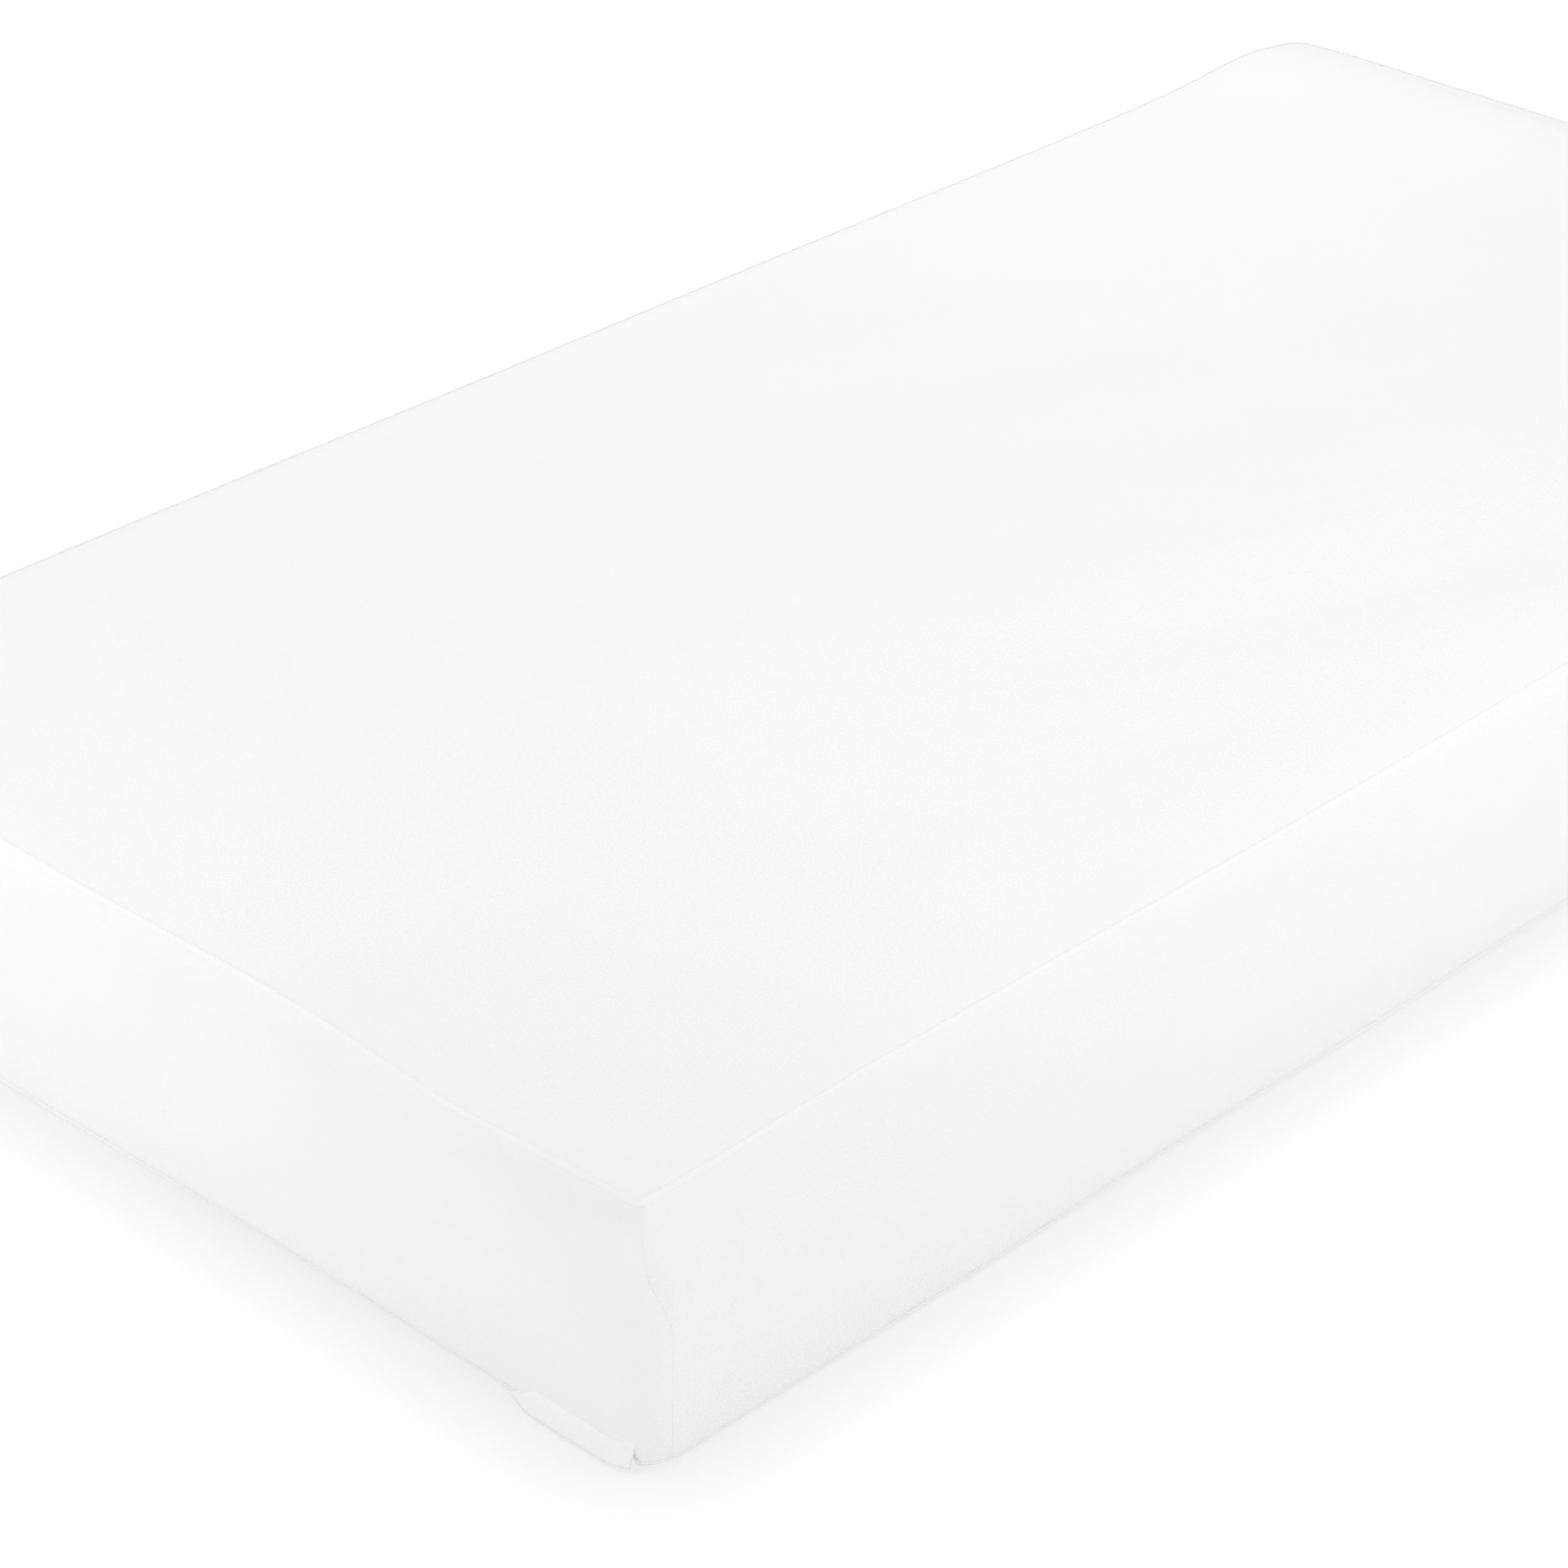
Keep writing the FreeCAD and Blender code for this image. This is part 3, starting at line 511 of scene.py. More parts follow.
def border_grid(side):
    """Points of a border panel before its relief, with the distances that the relief needs."""
    data = SIDES[side]
    columns, rows = np.meshgrid(side_columns(side), profile_rows())
    middle = np.clip(columns, 0, 1)
    past = columns - middle     # -1 to 0 on the corner before, 0 to 1 on the corner after
    nominal = (2 * middle - 1) * (data["half"] - CORNER_RADIUS) + past * CORNER_RADIUS

    lift, inset = seam_lift(side, nominal), seam_inset(side, nominal)
    low_height, low_inset = low_seam(side, nominal)
    bulge = border_bulge(side, nominal)
    seam_height = TOP - SEAM_DROP + lift
    under = low_inset / (1 - math.cos(UNDER_ANGLE))
    under_size = np.abs(under) + 1.5 * MM
    wall_low = low_height + under_size * math.sin(UNDER_ANGLE)
    wall_high = seam_height - SHOULDER

    on_low, on_shoulder = rows < 0, rows > 1
    turn_low = -rows * UNDER_ANGLE
    turn_high = np.clip(rows - 1, 0, 1) * SHOULDER_ANGLE
    height = wall_low + np.clip(rows, 0, 1) * (wall_high - wall_low)
    height = np.where(on_low, wall_low - under_size * np.sin(turn_low), height)
    height = np.where(on_shoulder, wall_high + SHOULDER * np.sin(turn_high), height)
    depth = np.where(on_low, under * (1 - np.cos(turn_low)), 0.0)
    drawn_in = inset * (1 - np.cos(turn_high)) / (1 - math.cos(SHOULDER_ANGLE))
    depth = np.where(on_shoulder, drawn_in, depth)
    share = np.clip((height - low_height) / (seam_height - low_height), 0, 1)
    depth = depth - bulge * np.sin(math.pi * share ** 1.9)
    if side == "near_end":
        below = np.clip((FOLD_TOP - height) / (FOLD_TOP - 4 * MM), 0, 1)
        depth = depth + FOLD_DEPTH * low_fold(nominal) * below

    previous = ORDER[ORDER.index(side) - 1]
    pinch = np.where(columns < 0.5, CORNERS[previous]["pinch"], CORNERS[side]["pinch"]) * MM
    radius = corner_radius(seam_height - height, pinch)
    start_angle = math.pi / 2 - seam_angle(previous, height)
    angle = past * np.where(past < 0, start_angle, seam_angle(side, height))
    along = (2 * middle - 1) * (data["half"] - radius) + radius * np.sin(angle) - depth * np.sin(angle)
    out = data["reach"] - radius + (radius - depth) * np.cos(angle)
    grid = np.stack([
        along * data["along"][0] + out * data["out"][0],
        along * data["along"][1] + out * data["out"][1],
        height,
    ], axis=-1)

    up, sideways = lengths_along(grid), lengths_along(grid, axis=1)
    return {
        "grid": grid, "along": along, "height": height, "from_low": up, "from_top": up[-1] - up,
        "from_start": sideways, "from_end": sideways[:, -1:] - sideways,
    }


PANEL_STYLE = {
    # top puckers: pitch, width, height, reach; then how deep the wall's slow waves are
    "front": {"top": (26, 6.0, 0.30, 16), "waves": 0.55},
    "near_end": {"top": (12, 4.0, 0.85, 13), "waves": 0.9},
    "back": {"top": (20, 5.0, 0.40, 15), "waves": 0.7},
    "far_end": {"top": (15, 4.5, 0.55, 14), "waves": 0.7},
}

# Local folds and dents beside the near corner: place along, height, the two widths in millimetres, lean,
# and how far out in millimetres.
LOCAL_RELIEF = {
    "front": [
        (-0.6255, 0.098, 3.6, 26, 0.06, -0.8),
        (-0.6360, 0.100, 4.5, 30, 0, 0.7),
        (-0.6290, 0.138, 13, 9, 0, 1.8),
        (-0.5900, 0.121, 16, 6, 0.25, -0.8),
        (-0.6120, 0.030, 12, 14, 0, 1.0),
        (-0.5600, 0.060, 60, 22, 0, -0.8),
    ],
    "near_end": [
        (0.3330, 0.030, 2.2, 16, 0.20, -0.8),
        (0.3150, 0.137, 12, 9, 0, 1.2),
        (0.2000, 0.125, 50, 12, 0, 1.4),
        (0.1350, 0.060, 40, 30, 0, -1.0),
    ],
}


def border_relief(side, shape):
    """How far the fabric stands out of the smooth border."""
    style = PANEL_STYLE[side]
    half = SIDES[side]["half"]
    along, height = shape["along"], shape["height"]
    from_top, from_low = shape["from_top"], shape["from_low"]
    from_start, from_end = shape["from_start"], shape["from_end"]
    free = ramp(from_top, 0, 40 * MM) * ramp(from_low, 0, 30 * MM)
    joined = ramp(np.minimum(from_start, from_end), 0, 7 * MM)

    slow = Waves(7, 0.09, 0.30, 90, 25)(along, height)
    slow += 0.5 * Waves(5, 0.03, 0.07, 75, 20)(along, height)
    relief = style["waves"] * MM * free * slow * 0.6
    relief += Puckers(-half, half, *(value * MM for value in style["top"]))(along, from_top)
    if side not in ZIP_SIDES:
        relief += Puckers(-half, half, 19 * MM, 5 * MM, 0.55 * MM, 10 * MM)(along, from_low)
    for distance in (from_start, from_end):
        side_folds = Puckers(10 * MM, TOP - 12 * MM, 13 * MM, 3.6 * MM, 0.8 * MM, 12 * MM)
        relief += side_folds(height, distance)
    for place, level, wide, tall, lean, depth in LOCAL_RELIEF.get(side, []):
        leaning = along - lean * (height - level)
        relief += depth * MM * bell(leaning, place, wide * MM) * bell(height, level, tall * MM)
    relief *= joined * ramp(from_top, 0, 5 * MM)
    for distance, share, width in (
        (from_start, 0.5, 3.5), (from_end, 0.5, 3.5), (from_top, 1.0, 2.2), (from_low, 1.0, 2.2),
    ):
        relief -= share * GROOVE * bell(distance, 0, width * MM)
    return relief


ZIP_SLOT_TOP = node_box("cover_back_panel")[0].z + 15.5 * MM
SLOT_START = node_box("zip_start_stop")[0].x
SLOT_END = node_box("zip_end_stop")[0].y


def slot_cells(side, shape):
    """Which cells of a border panel exist: all but those in front of the zip."""
    x, y = shape["grid"][..., 0], shape["grid"][..., 1]
    beside_zip = {"back": x > SLOT_START, "far_end": y > SLOT_END}.get(side, False)
    in_slot = (shape["height"] < ZIP_SLOT_TOP) & beside_zip
    return ~(in_slot[:-1, :-1] & in_slot[1:, :-1] & in_slot[:-1, 1:] & in_slot[1:, 1:])


def border_panels():
    """The four border panels, and the curves of their upper and lower seams."""
    top_seam, low_seam_curve = {}, {}
    for side in ORDER:
        shape = border_grid(side)
        normals = grid_normals(shape["grid"])
        grid = shape["grid"] + normals * border_relief(side, shape)[..., None]
        top_seam[side] = shape["grid"][-1]
        low_seam_curve[side] = shape["grid"][0]
        faces = grid_faces(*grid.shape[:2], keep=slot_cells(side, shape))
        cloth = np.stack([shape["from_start"], shape["from_low"]], axis=-1)
        points, cloth, faces = drop_loose_points(grid.reshape(-1, 3), cloth.reshape(-1, 2), faces)
        panel = mesh_piece(f"{side}_border_panel", points, faces, cloth=cloth)
        thicken(panel, FABRIC)
        finish_piece(panel, "cover_knit", f"cover_{side}_panel")
    return top_seam, low_seam_curve


# --- top and bottom


def graded(length, fine, coarse, edge):
    """Fractions from 0 to 1 that are close together near both ends."""
    edge_steps = np.arange(0, edge, fine)
    inner = np.linspace(edge, length - edge, int((length - 2 * edge) / coarse))
    return np.concatenate([edge_steps, inner, length - edge_steps[::-1]]) / length


def patch(seams, inward, p, r):
    """A surface that fills the loop of four seams, drawn inward from them by a small distance."""
    loop = np.concatenate([seams[side] for side in ORDER])
    tangent = np.roll(loop, -1, axis=0) - np.roll(loop, 1, axis=0)
    moved = loop - unit(turned_right(tangent)) * inward
    sizes = np.cumsum([0] + [len(seams[side]) for side in ORDER])
    part = {side: moved[sizes[i]:sizes[i + 1]] for i, side in enumerate(ORDER)}
    for i, side in enumerate(ORDER):
        following = part[ORDER[(i + 1) % 4]]
        part[side][-1] = following[0] = (part[side][-1] + following[0]) / 2
    front = along_curve(part["front"], p)[None]
    back = along_curve(part["back"][::-1], p)[None]
    near = along_curve(part["near_end"][::-1], r)[:, None]
    far = along_curve(part["far_end"], r)[:, None]
    p, r = p[None, :, None], r[:, None, None]
    ruled = (1 - r) * front + r * back
    return ruled + (1 - p) * (near - ruled[:, :1]) + p * (far - ruled[:, -1:])


RISE = 4.3 * MM            # how high the top stands over its seam
RISE_REACH = 17 * MM       # how quickly it rises
CROWN = 2.0 * MM           # how much higher still its middle is
FAR_RISE = 3.2 * MM        # the fuller stretch towards the far end
VALLEY = 2.6 * MM          # the long dip towards the back
WAVE = 0.9 * MM            # slow waves
DRAG = 0.16 * MM           # fine drag lines


def top_relief(x, y, from_end, from_side):
    """The top's height over its seams: a soft rise, a slight crown, and long slanting waves."""
    rise = (1 - np.exp(-from_end / RISE_REACH)) * (1 - np.exp(-from_side / RISE_REACH))
    level_across = 1 - (y / HALF_WIDTH) ** 2
    crown = (1 - (x / HALF_LENGTH) ** 2) * level_across
    far_rise = ramp(x, 0.15, 0.62) * level_across * ramp(from_end, 0, 32 * MM)
    free = ramp(from_end, 0, 70 * MM) * ramp(from_side, 0, 60 * MM)
    valley = bell(y - 0.14 + 0.10 * (x + 0.35), 0, 0.085)
    valley = valley * ramp(x, -0.60, -0.35) * (1 - ramp(x, 0.1, 0.5))
    slow = Waves(7, 0.10, 0.34, -17, 12)(x, y)
    drag = Waves(8, 0.018, 0.05, -20, 7)(x, y) * np.clip(Waves(4, 0.2, 0.5, 40, 60)(x, y), 0, 1)
    return (
        RISE * rise + CROWN * crown + FAR_RISE * far_rise - VALLEY * valley
        + WAVE * free * slow + DRAG * free * drag
    )


def top_panel(top_seam):
    p = graded(2 * HALF_LENGTH, 2.0 * MM, 5.2 * MM, 36 * MM)
    r = graded(2 * HALF_WIDTH, 1.6 * MM, 5.4 * MM, 36 * MM)
    grid = patch(top_seam, 0.3 * MM, p, r)
    x, y = grid[..., 0], grid[..., 1]
    from_front, from_back = y - y[:1], y[-1:] - y
    from_near, from_far = x - x[:, :1], x[:, -1:] - x
    height = top_relief(x, y, np.minimum(from_near, from_far), np.minimum(from_front, from_back))
    edges = (       # distance, place, then pitch, width, height and reach of the gathers
        (from_front, x, 26, 6.0, 0.22, 16), (from_back, x, 22, 6.0, 0.35, 16),
        (from_near, y, 13, 5.0, 0.60, 13), (from_far, y, 16, 5.0, 0.45, 14),
    )
    for distance, place, *style in edges:
        half = float(np.abs(place).max())
        gathers = Puckers(-half, half, *(value * MM for value in style))
        height = height + gathers(place, distance) * ramp(distance, 1 * MM, 10 * MM)
    grid[..., 2] += height
    panel = mesh_piece("top_panel", grid, grid_faces(*grid.shape[:2]), cloth=grid[..., 1::-1])
    thicken(panel, FABRIC)
    finish_piece(panel, "cover_knit", "cover_top_panel")


def turned_up_fold():
    """The loose fold where the base fabric is turned up over the foot of the near end."""
    along = np.linspace(FOLD_START - 4 * MM, FOLD_END + 1 * MM, 90)
    up = np.linspace(0, 1, 12)[:, None]
    rise = ramp(along, FOLD_START - 8 * MM, FOLD_START + 24 * MM)
    height = 2.2 * MM + up * rise * (18 + 2 * np.sin(along / 0.009)) * MM
    past = np.maximum(along - (HALF_WIDTH - CORNER_RADIUS), 0)
    rounding = CORNER_RADIUS - np.sqrt(CORNER_RADIUS ** 2 - past ** 2)
    out = HALF_LENGTH - rounding + (2.0 - 6.0 * up - 8.0 * (1 - rise)) * MM
    out = out + 0.2 * MM * np.sin(along / 0.0075 + 3 * up)
    return np.stack([-out, np.broadcast_to(-along, out.shape), height], axis=-1)


def bottom_panel(low_curves):
    p = graded(2 * HALF_LENGTH, 1.8 * MM, 9 * MM, 26 * MM)
    r = graded(2 * HALF_WIDTH, 1.8 * MM, 9 * MM, 26 * MM)
    grid = patch(low_curves, 0.4 * MM, p, r)
    x, y = grid[..., 0], grid[..., 1]
    side = np.minimum.reduce([
        x - low_curves["near_end"][:, 0].min(), low_curves["far_end"][:, 0].max() - x,
        y - low_curves["front"][:, 1].min(), low_curves["back"][:, 1].max() - y,
    ])
    down = np.exp(-np.maximum(side, 0) / (5.5 * MM))
    slow = Waves(6, 0.05, 0.16, 10, 80)(x, y)
    lifted = 0.5 * MM * (0.5 + 0.5 * np.clip(slow, -1, 1)) * ramp(side, 5 * MM, 25 * MM)
    grid[..., 2] = grid[..., 2] * down + lifted * (1 - down)
    grid = grid[::-1]
    fold = turned_up_fold()
    points = np.concatenate([grid.reshape(-1, 3), fold.reshape(-1, 3)])
    cloth = np.concatenate([grid[..., 1::-1].reshape(-1, 2), fold[..., 1:].reshape(-1, 2)])
    faces = np.concatenate([
        grid_faces(*grid.shape[:2]), grid_faces(*fold.shape[:2]) + grid.shape[0] * grid.shape[1],
    ])
    panel = mesh_piece("bottom_panel", points, faces, cloth=cloth)
    thicken(panel, FABRIC)
    finish_piece(panel, "cover_base", "cover_bottom_panel")


RIDGE_SIDES = 12


def ridge(name, seams, up, width, tall, lean, node):
    """A narrow rounded band all the way round a seam, leaning down on its outer side."""
    loop = np.concatenate([seams[side][:-1] for side in ORDER])
    tangent = unit(np.roll(loop, -1, axis=0) - np.roll(loop, 1, axis=0))
    outward = unit(turned_right(tangent))
    lift = np.cross(outward, tangent)
    across = outward * math.cos(lean) - lift * math.sin(lean)
    over = lift * math.cos(lean) + outward * math.sin(lean)
    travelled = np.cumsum(np.linalg.norm(np.roll(loop, -1, axis=0) - loop, axis=-1))
    swell = 1.0 + 0.06 * Puckers(0, travelled[-1], 9 * MM, 3 * MM, 1.0, 1.0)(travelled, 0.0)
    rings = []
    for i in range(RIDGE_SIDES):
        turn = 2 * math.pi * i / RIDGE_SIDES
        sideways = (width / 2 * math.cos(turn) * swell)[:, None]
        upwards = (tall / 2 * math.sin(turn) * swell + up)[:, None]
        rings.append(loop + across * sideways + over * upwards)
    faces = grid_faces(RIDGE_SIDES + 1, len(loop), wrap=True) % (RIDGE_SIDES * len(loop))
    cloth = np.stack(np.meshgrid(travelled, np.arange(RIDGE_SIDES) * width / 4), axis=-1)
    band = mesh_piece(name, np.stack(rings), faces, cloth=cloth)
    finish_piece(band, "seam_tape", node)


# --- foams and liner


def sunken(x, y):
    """How far the layers under the cover sink beside a sagging stretch of its top seam."""
    deepest = np.zeros(x.shape)
    for side, data in SIDES.items():
        along = x * data["along"][0] + y * data["along"][1]
        out = x * data["out"][0] + y * data["out"][1]
        sag = np.maximum(1.5 * MM - seam_lift(side, along), 0)
        deepest = np.maximum(deepest, sag * np.exp(-np.maximum(data["reach"] - out, 0) / 0.07))
    return deepest


FOAM_CORNER = 35.2 * MM
OUTLINE_POINTS = 260
FACE_RINGS, TURN_RINGS, WALL_RINGS = 26, 6, 12      # rings on a face, over an edge, and up the wall
SKIN_GAP = 0.35 * MM                                # each layer is this much inside its CAD solid
SOCK_THICKNESS = 0.7 * MM


def slab_grid(low, high, round_top, round_bottom, relief):
    """A closed rounded block: rings round its outline, drawn in to a spine above and below."""
    centre, half = (low + high) / 2, (high - low) / 2
    outline = []
    for cx, cy, start in ((1, -1, -90), (1, 1, 0), (-1, 1, 90), (-1, -1, 180)):
        for angle in np.linspace(0, math.pi / 2, 9) + math.radians(start):
            outline.append((
                cx * (half.x - FOAM_CORNER) + FOAM_CORNER * math.cos(angle),
                cy * (half.y - FOAM_CORNER) + FOAM_CORNER * math.sin(angle),
            ))
    fractions = np.linspace(0, 1, OUTLINE_POINTS, endpoint=False)
    outline = along_curve(np.array(outline + [outline[0]]), fractions)
    straight = half.x - half.y
    spine = np.stack([np.clip(outline[:, 0], -straight, straight), np.zeros(OUTLINE_POINTS)], axis=-1)
    inner = outline - spine
    reach = np.linalg.norm(inner, axis=-1, keepdims=True)

    def ring(drawn_in, level, share=1.0):
        """The outline drawn in by a distance, then shrunk to a share of its reach from the spine."""
        flat = spine + inner * (1 - drawn_in / reach) * share ** 0.8
        return np.concatenate([flat, np.full((OUTLINE_POINTS, 1), level)], axis=-1)

    turns = [(1 - math.sin(t), 1 - math.cos(t)) for t in np.linspace(0, math.pi / 2, TURN_RINGS)]
    outwards = np.linspace(0.0, 1.0, FACE_RINGS, endpoint=False)
    levels = np.linspace(low.z + round_bottom, high.z - round_top, WALL_RINGS)[1:-1]
    inwards = np.linspace(1.0, 0.0, FACE_RINGS + 1)[1:]
    grid = np.stack(
        [ring(round_bottom, low.z, share) for share in outwards]
        + [ring(round_bottom * s, low.z + round_bottom * c) for s, c in turns]
        + [ring(0.0, level) for level in levels]
        + [ring(round_top * c, high.z - round_top * s) for s, c in turns]
        + [ring(round_top, high.z, share) for share in inwards]
    )
    grid[..., :2] += np.array(centre.xy)
    rumple = Waves(9, 0.03, 0.15, 0, 180)(grid[..., 0], grid[..., 1] + grid[..., 2])
    dip = SKIN_GAP + relief * (0.5 + 0.5 * np.clip(rumple, -1, 1))
    middle = np.array(centre)
    grid = middle + (grid - middle) * (1 - dip[..., None] / np.array(half))
    grid[..., 2] -= sunken(grid[..., 0], grid[..., 1]) * grid[..., 2] / TOP
    return grid


def foams():
    for slot, node, round_top, round_bottom in (
        ("support_foam", "support_foam_core", 1.5, 11.5),
        ("transition_foam", "transition_foam_layer", 1.5, 1.5),
        ("memory_foam", "memory_foam_layer", 9.2, 1.5),
    ):
        grid = slab_grid(*node_box(node), round_top * MM, round_bottom * MM, 0.3 * MM)
        block = mesh_piece(f"{slot}_block", grid, grid_faces(*grid.shape[:2], wrap=True))
        weld(block)
        block.data.shade_smooth()
        finish_piece(block, slot, node)


def liner():
    """The sock: an outer and an inner skin of the same closed shape, one inside the other."""
    low, high = node_box("inner_sock")
    grid = slab_grid(low, high, 10 * MM, 12 * MM, 0.05 * MM)
    middle_row, straight_column = 45, 10
    around, up = lengths_along(grid[middle_row]), lengths_along(grid[:, straight_column])
    cloth = np.stack(np.meshgrid(around, up), axis=-1)
    sock = mesh_piece("inner_sock_liner", grid, grid_faces(*grid.shape[:2], wrap=True), cloth=cloth)
    weld(sock)
    thicken(sock, SOCK_THICKNESS)
    sock.data.shade_smooth()
    finish_piece(sock, "sock_knit", "inner_sock")


# --- zip and label


def zip_line(inset, spacing):
    """Points in plan along the zip, from its start on the back, round the corner, to its end."""
    start, end = node_box("zip_tape_lower")[0].x, node_box("zip_tape_lower")[0].y
    back, far = HALF_WIDTH - inset, HALF_LENGTH - inset
    radius = CORNER_RADIUS - inset
    straight_back = far - radius - start
    arc = radius * math.pi / 2
    total = straight_back + arc + (back - radius) - end
    travelled = np.linspace(0, total, int(total / spacing))
    turn = np.clip((travelled - straight_back) / radius, 0, math.pi / 2)
    past = np.maximum(travelled - straight_back - arc, 0)
    x = start + np.minimum(travelled, straight_back) + radius * np.sin(turn)
    y = back - radius * (1 - np.cos(turn)) - past
    outward = np.stack([np.sin(turn), np.cos(turn)], axis=-1)
    return np.stack([x, y], axis=-1), outward, travelled


TAPE_THICKNESS = 0.6 * MM
STITCH_ROWS = (3.2 * MM, 4.4 * MM)          # from the coil's edge
STITCH_DENT, STITCH_WIDTH = 0.12 * MM, 0.35 * MM
COIL_PITCH = 1.6 * MM
COIL_WIRE = 0.30 * MM
COIL_DEPTH = 0.8 * MM
COIL_SIDES = 5


def zip_tape(name, node, coil_edge):
    """One woven tape with two rows of stitches beside the coil."""
    low, high = node_box(node)
    line, outward, travelled = zip_line(1.5 * MM, 1.5 * MM)
    levels = np.linspace(low.z, high.z, 26)
    from_coil = np.abs(levels - coil_edge)
    out = -STITCH_DENT * sum(bell(from_coil, row, STITCH_WIDTH) for row in STITCH_ROWS)
    out = out[:, None] + 0.10 * MM * np.sin(travelled / 0.021)
    plan = line[None] + outward[None] * out[..., None]
    place = np.stack(np.meshgrid(travelled, levels), axis=-1)
    grid = np.concatenate([plan, place[..., 1:]], axis=-1)
    tape = mesh_piece(name, grid, grid_faces(*grid.shape[:2])[:, ::-1], cloth=place)
    thicken(tape, TAPE_THICKNESS)
    finish_piece(tape, "zip_tape", node)


def zip_coil(name, node, heads):
    """A nylon coil: a flattened helix whose heads reach across to the other coil."""
    low, high = node_box(node)
    middle = (low.z + high.z) / 2
    tall = abs(middle - heads) / 2 + (high.z - low.z) / 4 - COIL_WIRE
    line, outward, travelled = zip_line(0.35 * MM, COIL_PITCH / 10)
    inside = (line[:, 0] > node_box("zip_start_stop")[1].x) | (line[:, 1] < 0)
    inside &= line[:, 1] > node_box("zip_end_stop")[1].y
    line, outward, travelled = line[inside], outward[inside], travelled[inside]
    turn = 2 * math.pi * travelled / COIL_PITCH
    out = COIL_DEPTH * flattened(np.cos(turn), 0.7)
    level = (middle + heads) / 2 + tall * np.sin(turn)
    path = np.concatenate([line + outward * out[:, None], level[:, None]], axis=-1)
    forward = unit(np.gradient(path, axis=0))
    side = unit(np.cross(forward, turned_right(outward)))[:, None]
    other = np.cross(forward[:, None], side)
    ring = np.arange(COIL_SIDES)[:, None] * 2 * math.pi / COIL_SIDES
    grid = path[:, None] + COIL_WIRE * (np.cos(ring) * side + np.sin(ring) * other)
    faces = grid_faces(len(path), COIL_SIDES, wrap=True)[:, ::-1].tolist()
    cap = list(range(COIL_SIDES))
    faces += [cap, [(len(path) - 1) * COIL_SIDES + i for i in cap[::-1]]]
    coil = mesh_piece(name, grid, faces)
    finish_piece(coil, "zip_coil", node)


PATCH_CORNER = 3.5 * MM        # rounded corners of the garages and the label
PATCH_POINTS = 61
PATCH_STITCH = 0.22 * MM
GARAGE_PUFF, GARAGE_SUNK = 0.7 * MM, 0.9 * MM
LABEL_PUFF, LABEL_GAP = 0.15 * MM, 0.25 * MM


def soft_patch(name, node, slot, face, puff, across=0):
    """A small patch, wide in x (across 0) or y (1), with a stitched-down border and a soft middle."""
    low, high = node_box(node)
    centre = (low + high) / 2
    through = 1 - across
    half_wide, half_tall = (high[across] - low[across]) / 2, (high.z - low.z) / 2
    u, v = np.meshgrid(*2 * [np.linspace(-1, 1, PATCH_POINTS)])
    zone_u, zone_v = PATCH_CORNER / half_wide, PATCH_CORNER / half_tall
    beside_u = np.clip((np.abs(u) - 1 + zone_u) / zone_u, 0, 1) ** 2
    beside_v = np.clip((np.abs(v) - 1 + zone_v) / zone_v, 0, 1) ** 2
    cut = 1 - math.sqrt(0.5)
    u2 = u * (1 - cut * zone_u * beside_v * np.abs(u) ** 16)
    v2 = v * (1 - cut * zone_v * beside_u * np.abs(v) ** 16)
    edge = 1 - np.maximum(np.abs(u), np.abs(v))
    stitches = bell(edge, 0.13, 0.03) * (0.6 + 0.4 * np.sign(np.sin(40 * np.maximum(u, v))))
    soft = (puff + 0.12 * MM * Waves(5, 0.3, 0.9, 30, 90)(u, v)) * ramp(edge, 0, 0.3)
    out = face + soft - PATCH_STITCH * stitches
    cloth = np.stack([u2 * half_wide, v2 * half_tall], axis=-1)
    grid = np.empty((*u.shape, 3))
    grid[..., across] = centre[across] + cloth[..., 0]
    grid[..., through] = out
    grid[..., 2] = centre.z + cloth[..., 1]
    faces = grid_faces(PATCH_POINTS, PATCH_POINTS)
    piece = mesh_piece(name, grid, faces if across else faces[:, ::-1], cloth=cloth)
    thicken(piece, (high[through] - low[through]) * 0.45)
    finish_piece(piece, slot, node)


BINDING_ROWS, BINDING_SIDES = 90, 20
BINDING_DEEP, BINDING_WIDE = 2.9 * MM, 0.48 * MM        # half the strip's depth and thickness


def corner_binding(node):
    """The tape over the seam allowance inside a corner: a thin strip that points inwards."""
    low, high = node_box(node)
    centre = (low + high) / 2
    inwards = Vector((-centre.x / abs(centre.x), -centre.y / abs(centre.y), 0)).normalized()
    across = Vector((-inwards.y, inwards.x, 0))
    turns = np.arange(BINDING_SIDES) * 2 * math.pi / BINDING_SIDES
    turn, level = np.meshgrid(turns, np.linspace(low.z, high.z, BINDING_ROWS))
    deep = BINDING_DEEP * flattened(np.cos(turn), 0.35)
    wide = BINDING_WIDE * flattened(np.sin(turn), 0.5)
    stitched = 1 - 0.22 * bell(deep, -1.6 * MM, 0.5 * MM) * (np.sin(level / (0.45 * MM)) > -0.4)
    ripple = 0.12 * MM * np.sin(level / 0.006) * ramp(deep, -3 * MM, 3 * MM)
    sideways = wide * stitched + ripple
    x, y = (centre[i] + inwards[i] * deep + across[i] * sideways for i in range(2))
    faces = grid_faces(BINDING_ROWS, BINDING_SIDES, wrap=True).tolist()
    cap = list(range(BINDING_SIDES))
    faces += [cap[::-1], [(BINDING_ROWS - 1) * BINDING_SIDES + i for i in cap]]
    cloth = np.stack([turn * MM, level], axis=-1)
    strip = mesh_piece(node + "_tape", np.stack([x, y, level], axis=-1), faces, cloth=cloth)
    finish_piece(strip, "seam_tape", node)


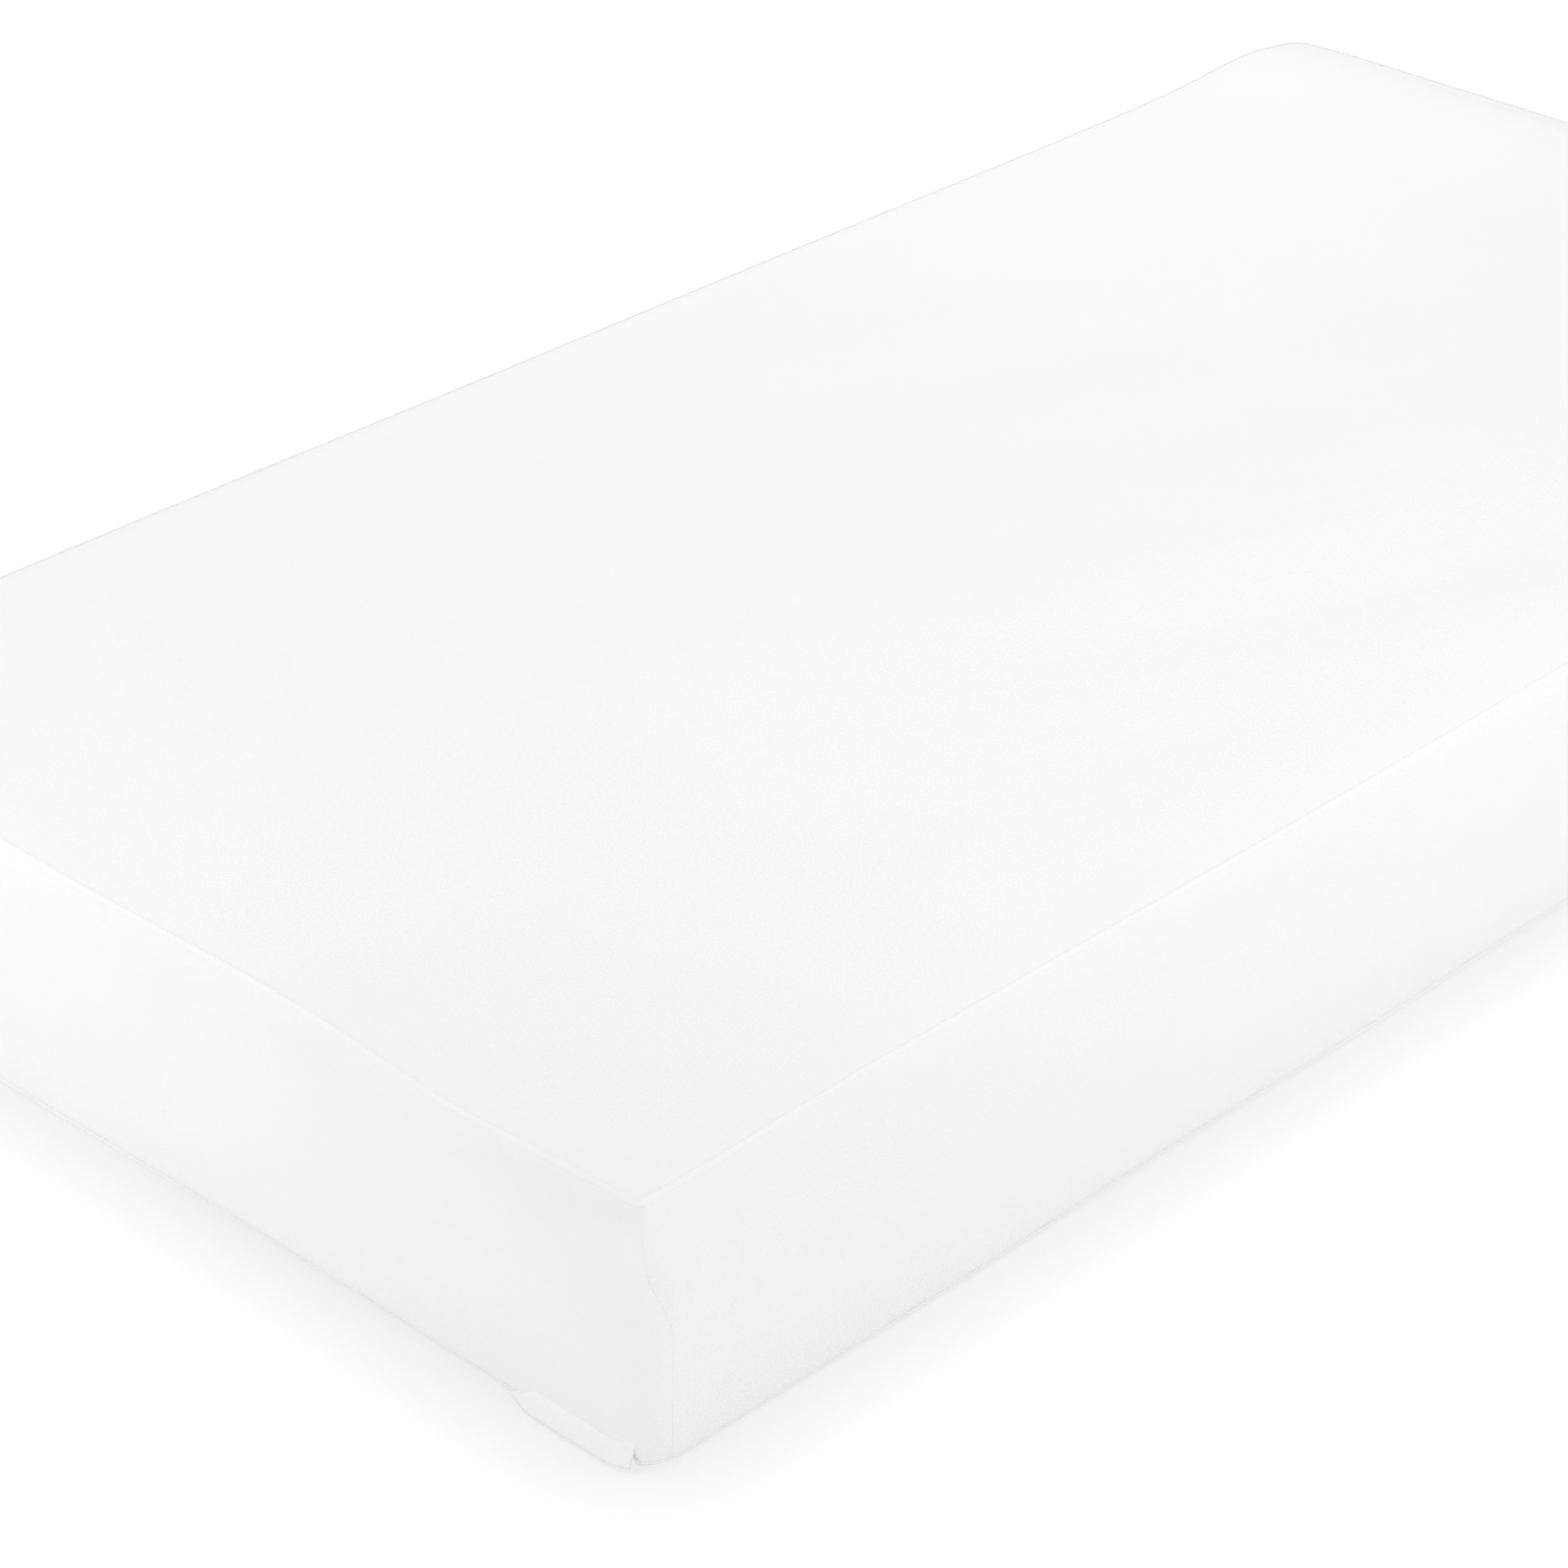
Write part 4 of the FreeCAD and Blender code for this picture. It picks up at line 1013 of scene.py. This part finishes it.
def zips():
    zip_tape("zip_upper_tape", "zip_tape_upper", node_box("zip_tape_upper")[0].z)
    zip_tape("zip_lower_tape", "zip_tape_lower", node_box("zip_tape_lower")[1].z)
    upper, lower = node_box("zip_coil_upper"), node_box("zip_coil_lower")
    centre = (upper[0].z + lower[1].z) / 2
    zip_coil("zip_upper_coil", "zip_coil_upper", centre - 0.35 * MM)
    zip_coil("zip_lower_coil", "zip_coil_lower", centre + 0.35 * MM)
    for across, end, panel in ((0, "start", "back_border_panel"), (1, "end", "far_end_border_panel")):
        node = f"zip_garage_{end}"
        face = node_box(node)[1][1 - across] - GARAGE_SUNK
        soft_patch(f"zip_{end}_garage", node, "cover_knit", face, GARAGE_PUFF, across)
    soft_patch("blank_care_label", "care_label", "label_tape", HALF_WIDTH, LABEL_PUFF)
    for end in ("near", "far"):
        for side in ("front", "back"):
            corner_binding(f"{side}_{end}_corner_binding")
    for name in ("zip_slider", "zip_pull_tab", "zip_start_stop", "zip_end_stop"):
        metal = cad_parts[name]
        metal.data.materials.clear()
        metal.data.materials.append(LOOKS["zip_metal"])


def lay_label():
    """Lay the label on the back panel, whose face bulges and waves."""
    graph = bpy.context.evaluated_depsgraph_get()
    panel = BVHTree.FromObject(bpy.data.objects["back_border_panel"], graph)
    behind = Vector((0, -1, 0))
    for point in bpy.data.objects["blank_care_label"].data.vertices:
        face = panel.ray_cast(Vector((point.co.x, 1, point.co.z)), behind)[0]
        point.co.y += face.y - HALF_WIDTH + LABEL_GAP


# --- camera, floor, light


def aim(piece, place, target):
    piece.location = place
    piece.rotation_euler = (Vector(target) - Vector(place)).to_track_quat("-Z", "Y").to_euler()


def camera():
    """Above the near corner, looking along the mattress's diagonal."""
    data = bpy.data.cameras.new("camera")
    data.lens = 110.9
    data.sensor_width = 36
    data.clip_end = 60
    piece = add_object("camera", data)
    pitch, heading = math.radians(29.88), math.radians(44.22)
    place = Vector((-1.8613, -1.6087, 1.3709))
    forward = Vector((
        math.cos(pitch) * math.cos(heading), math.cos(pitch) * math.sin(heading), -math.sin(pitch),
    ))
    aim(piece, place, place + forward)
    bpy.context.scene.camera = piece


def floor():
    """A white floor that glows, with a painted contact shadow: its glow is dimmed where something stands
    close to it.
    """
    nodes = Nodes("studio_floor")
    # Painted shadow: ambient occlusion within 60 mm darkens the floor's glow beside the mattress.
    near = nodes.add("ShaderNodeAmbientOcclusion", {"Distance": 60 * MM}, samples=4)
    painted_contact_shadow = nodes.add("ShaderNodeMapRange", {
        "Value": near.outputs["AO"], "From Min": 0.50, "From Max": 0.97, "To Min": 0.72, "To Max": 0.88,
    })
    nodes.wire(nodes.shader, {
        "Base Color": (0.16, 0.16, 0.16, 1), "Roughness": 0.9, "Specular IOR Level": 0.0,
        "Emission Color": (1, 1, 1, 1), "Emission Strength": painted_contact_shadow.outputs[0],
    })
    size = 14
    points = [(-size, -size, 0), (size, -size, 0), (size, size, 0), (-size, size, 0)]
    plane = mesh_piece("studio_floor", points, [(0, 1, 2, 3)])
    plane.location.z = -0.1 * MM
    plane.data.materials.append(nodes.material)


def lights():
    """A bright tent, with soft boxes that leave the near corner a little darker."""
    world = bpy.data.worlds.new("studio")
    bpy.context.scene.world = world
    world.use_nodes = True
    background = world.node_tree.nodes["Background"]
    background.inputs["Color"].default_value = (1, 1, 1, 1)
    background.inputs["Strength"].default_value = 0.60
    for name, place, target, size, power in (
        ("front_top", (-0.52, -0.60, 0.99), (0.3, 0.2, 0.1), 0.4, 1.1),
        ("back_top", (0.65, 0.58, 1.13), (0.7, 0.34, 0.1), 0.4, 2.2),
        ("front_box", (0.19, -0.95, 0.62), (0.4, 0.0, 0.1), 0.8, 1.75),
        ("end_box", (-1.17, 0.32, 0.47), (-0.78, 0.50, 0.1), 0.8, 1.7),
        ("back_box", (-0.4, 1.1, 0.5), (-0.3, 0.2, 0.1), 0.8, 0.8),
        ("back_rim", (-0.1, 1.15, 0.14), (0.0, 0.35, 0.12), 0.25, 1.4),
        ("far_box", (1.4, 0.3, 0.6), (0.6, 0.1, 0.1), 0.8, 0.9),
        ("overhead", (-0.1, 0.14, 1.75), (0.7, 0.55, 0.1), 0.5, 4.4),
        ("fill", (-1.61, -1.64, 1.36), (-0.61, -0.13, 0.1), 0.8, 5.6),
    ):
        data = bpy.data.lights.new(name, "AREA")
        data.shape = "SQUARE"
        data.size = size
        data.energy = power
        piece = add_object(name, data)
        aim(piece, place, target)
        piece.visible_camera = False
    bpy.context.scene.view_settings.view_transform = "Standard"


camera()
floor()
lights()
foams()
liner()
zips()
top_curve, low_curve = border_panels()
top_panel(top_curve)
bottom_panel(low_curve)
lay_label()
ridge("top_seam_ridge", top_curve, -0.12 * MM, 4.0 * MM, 1.3 * MM, math.radians(38),
      "top_seam_binding")
ridge("bottom_seam_edge", low_curve, 0.0, 2.4 * MM, 2.0 * MM, 0.0, "bottom_seam_binding")
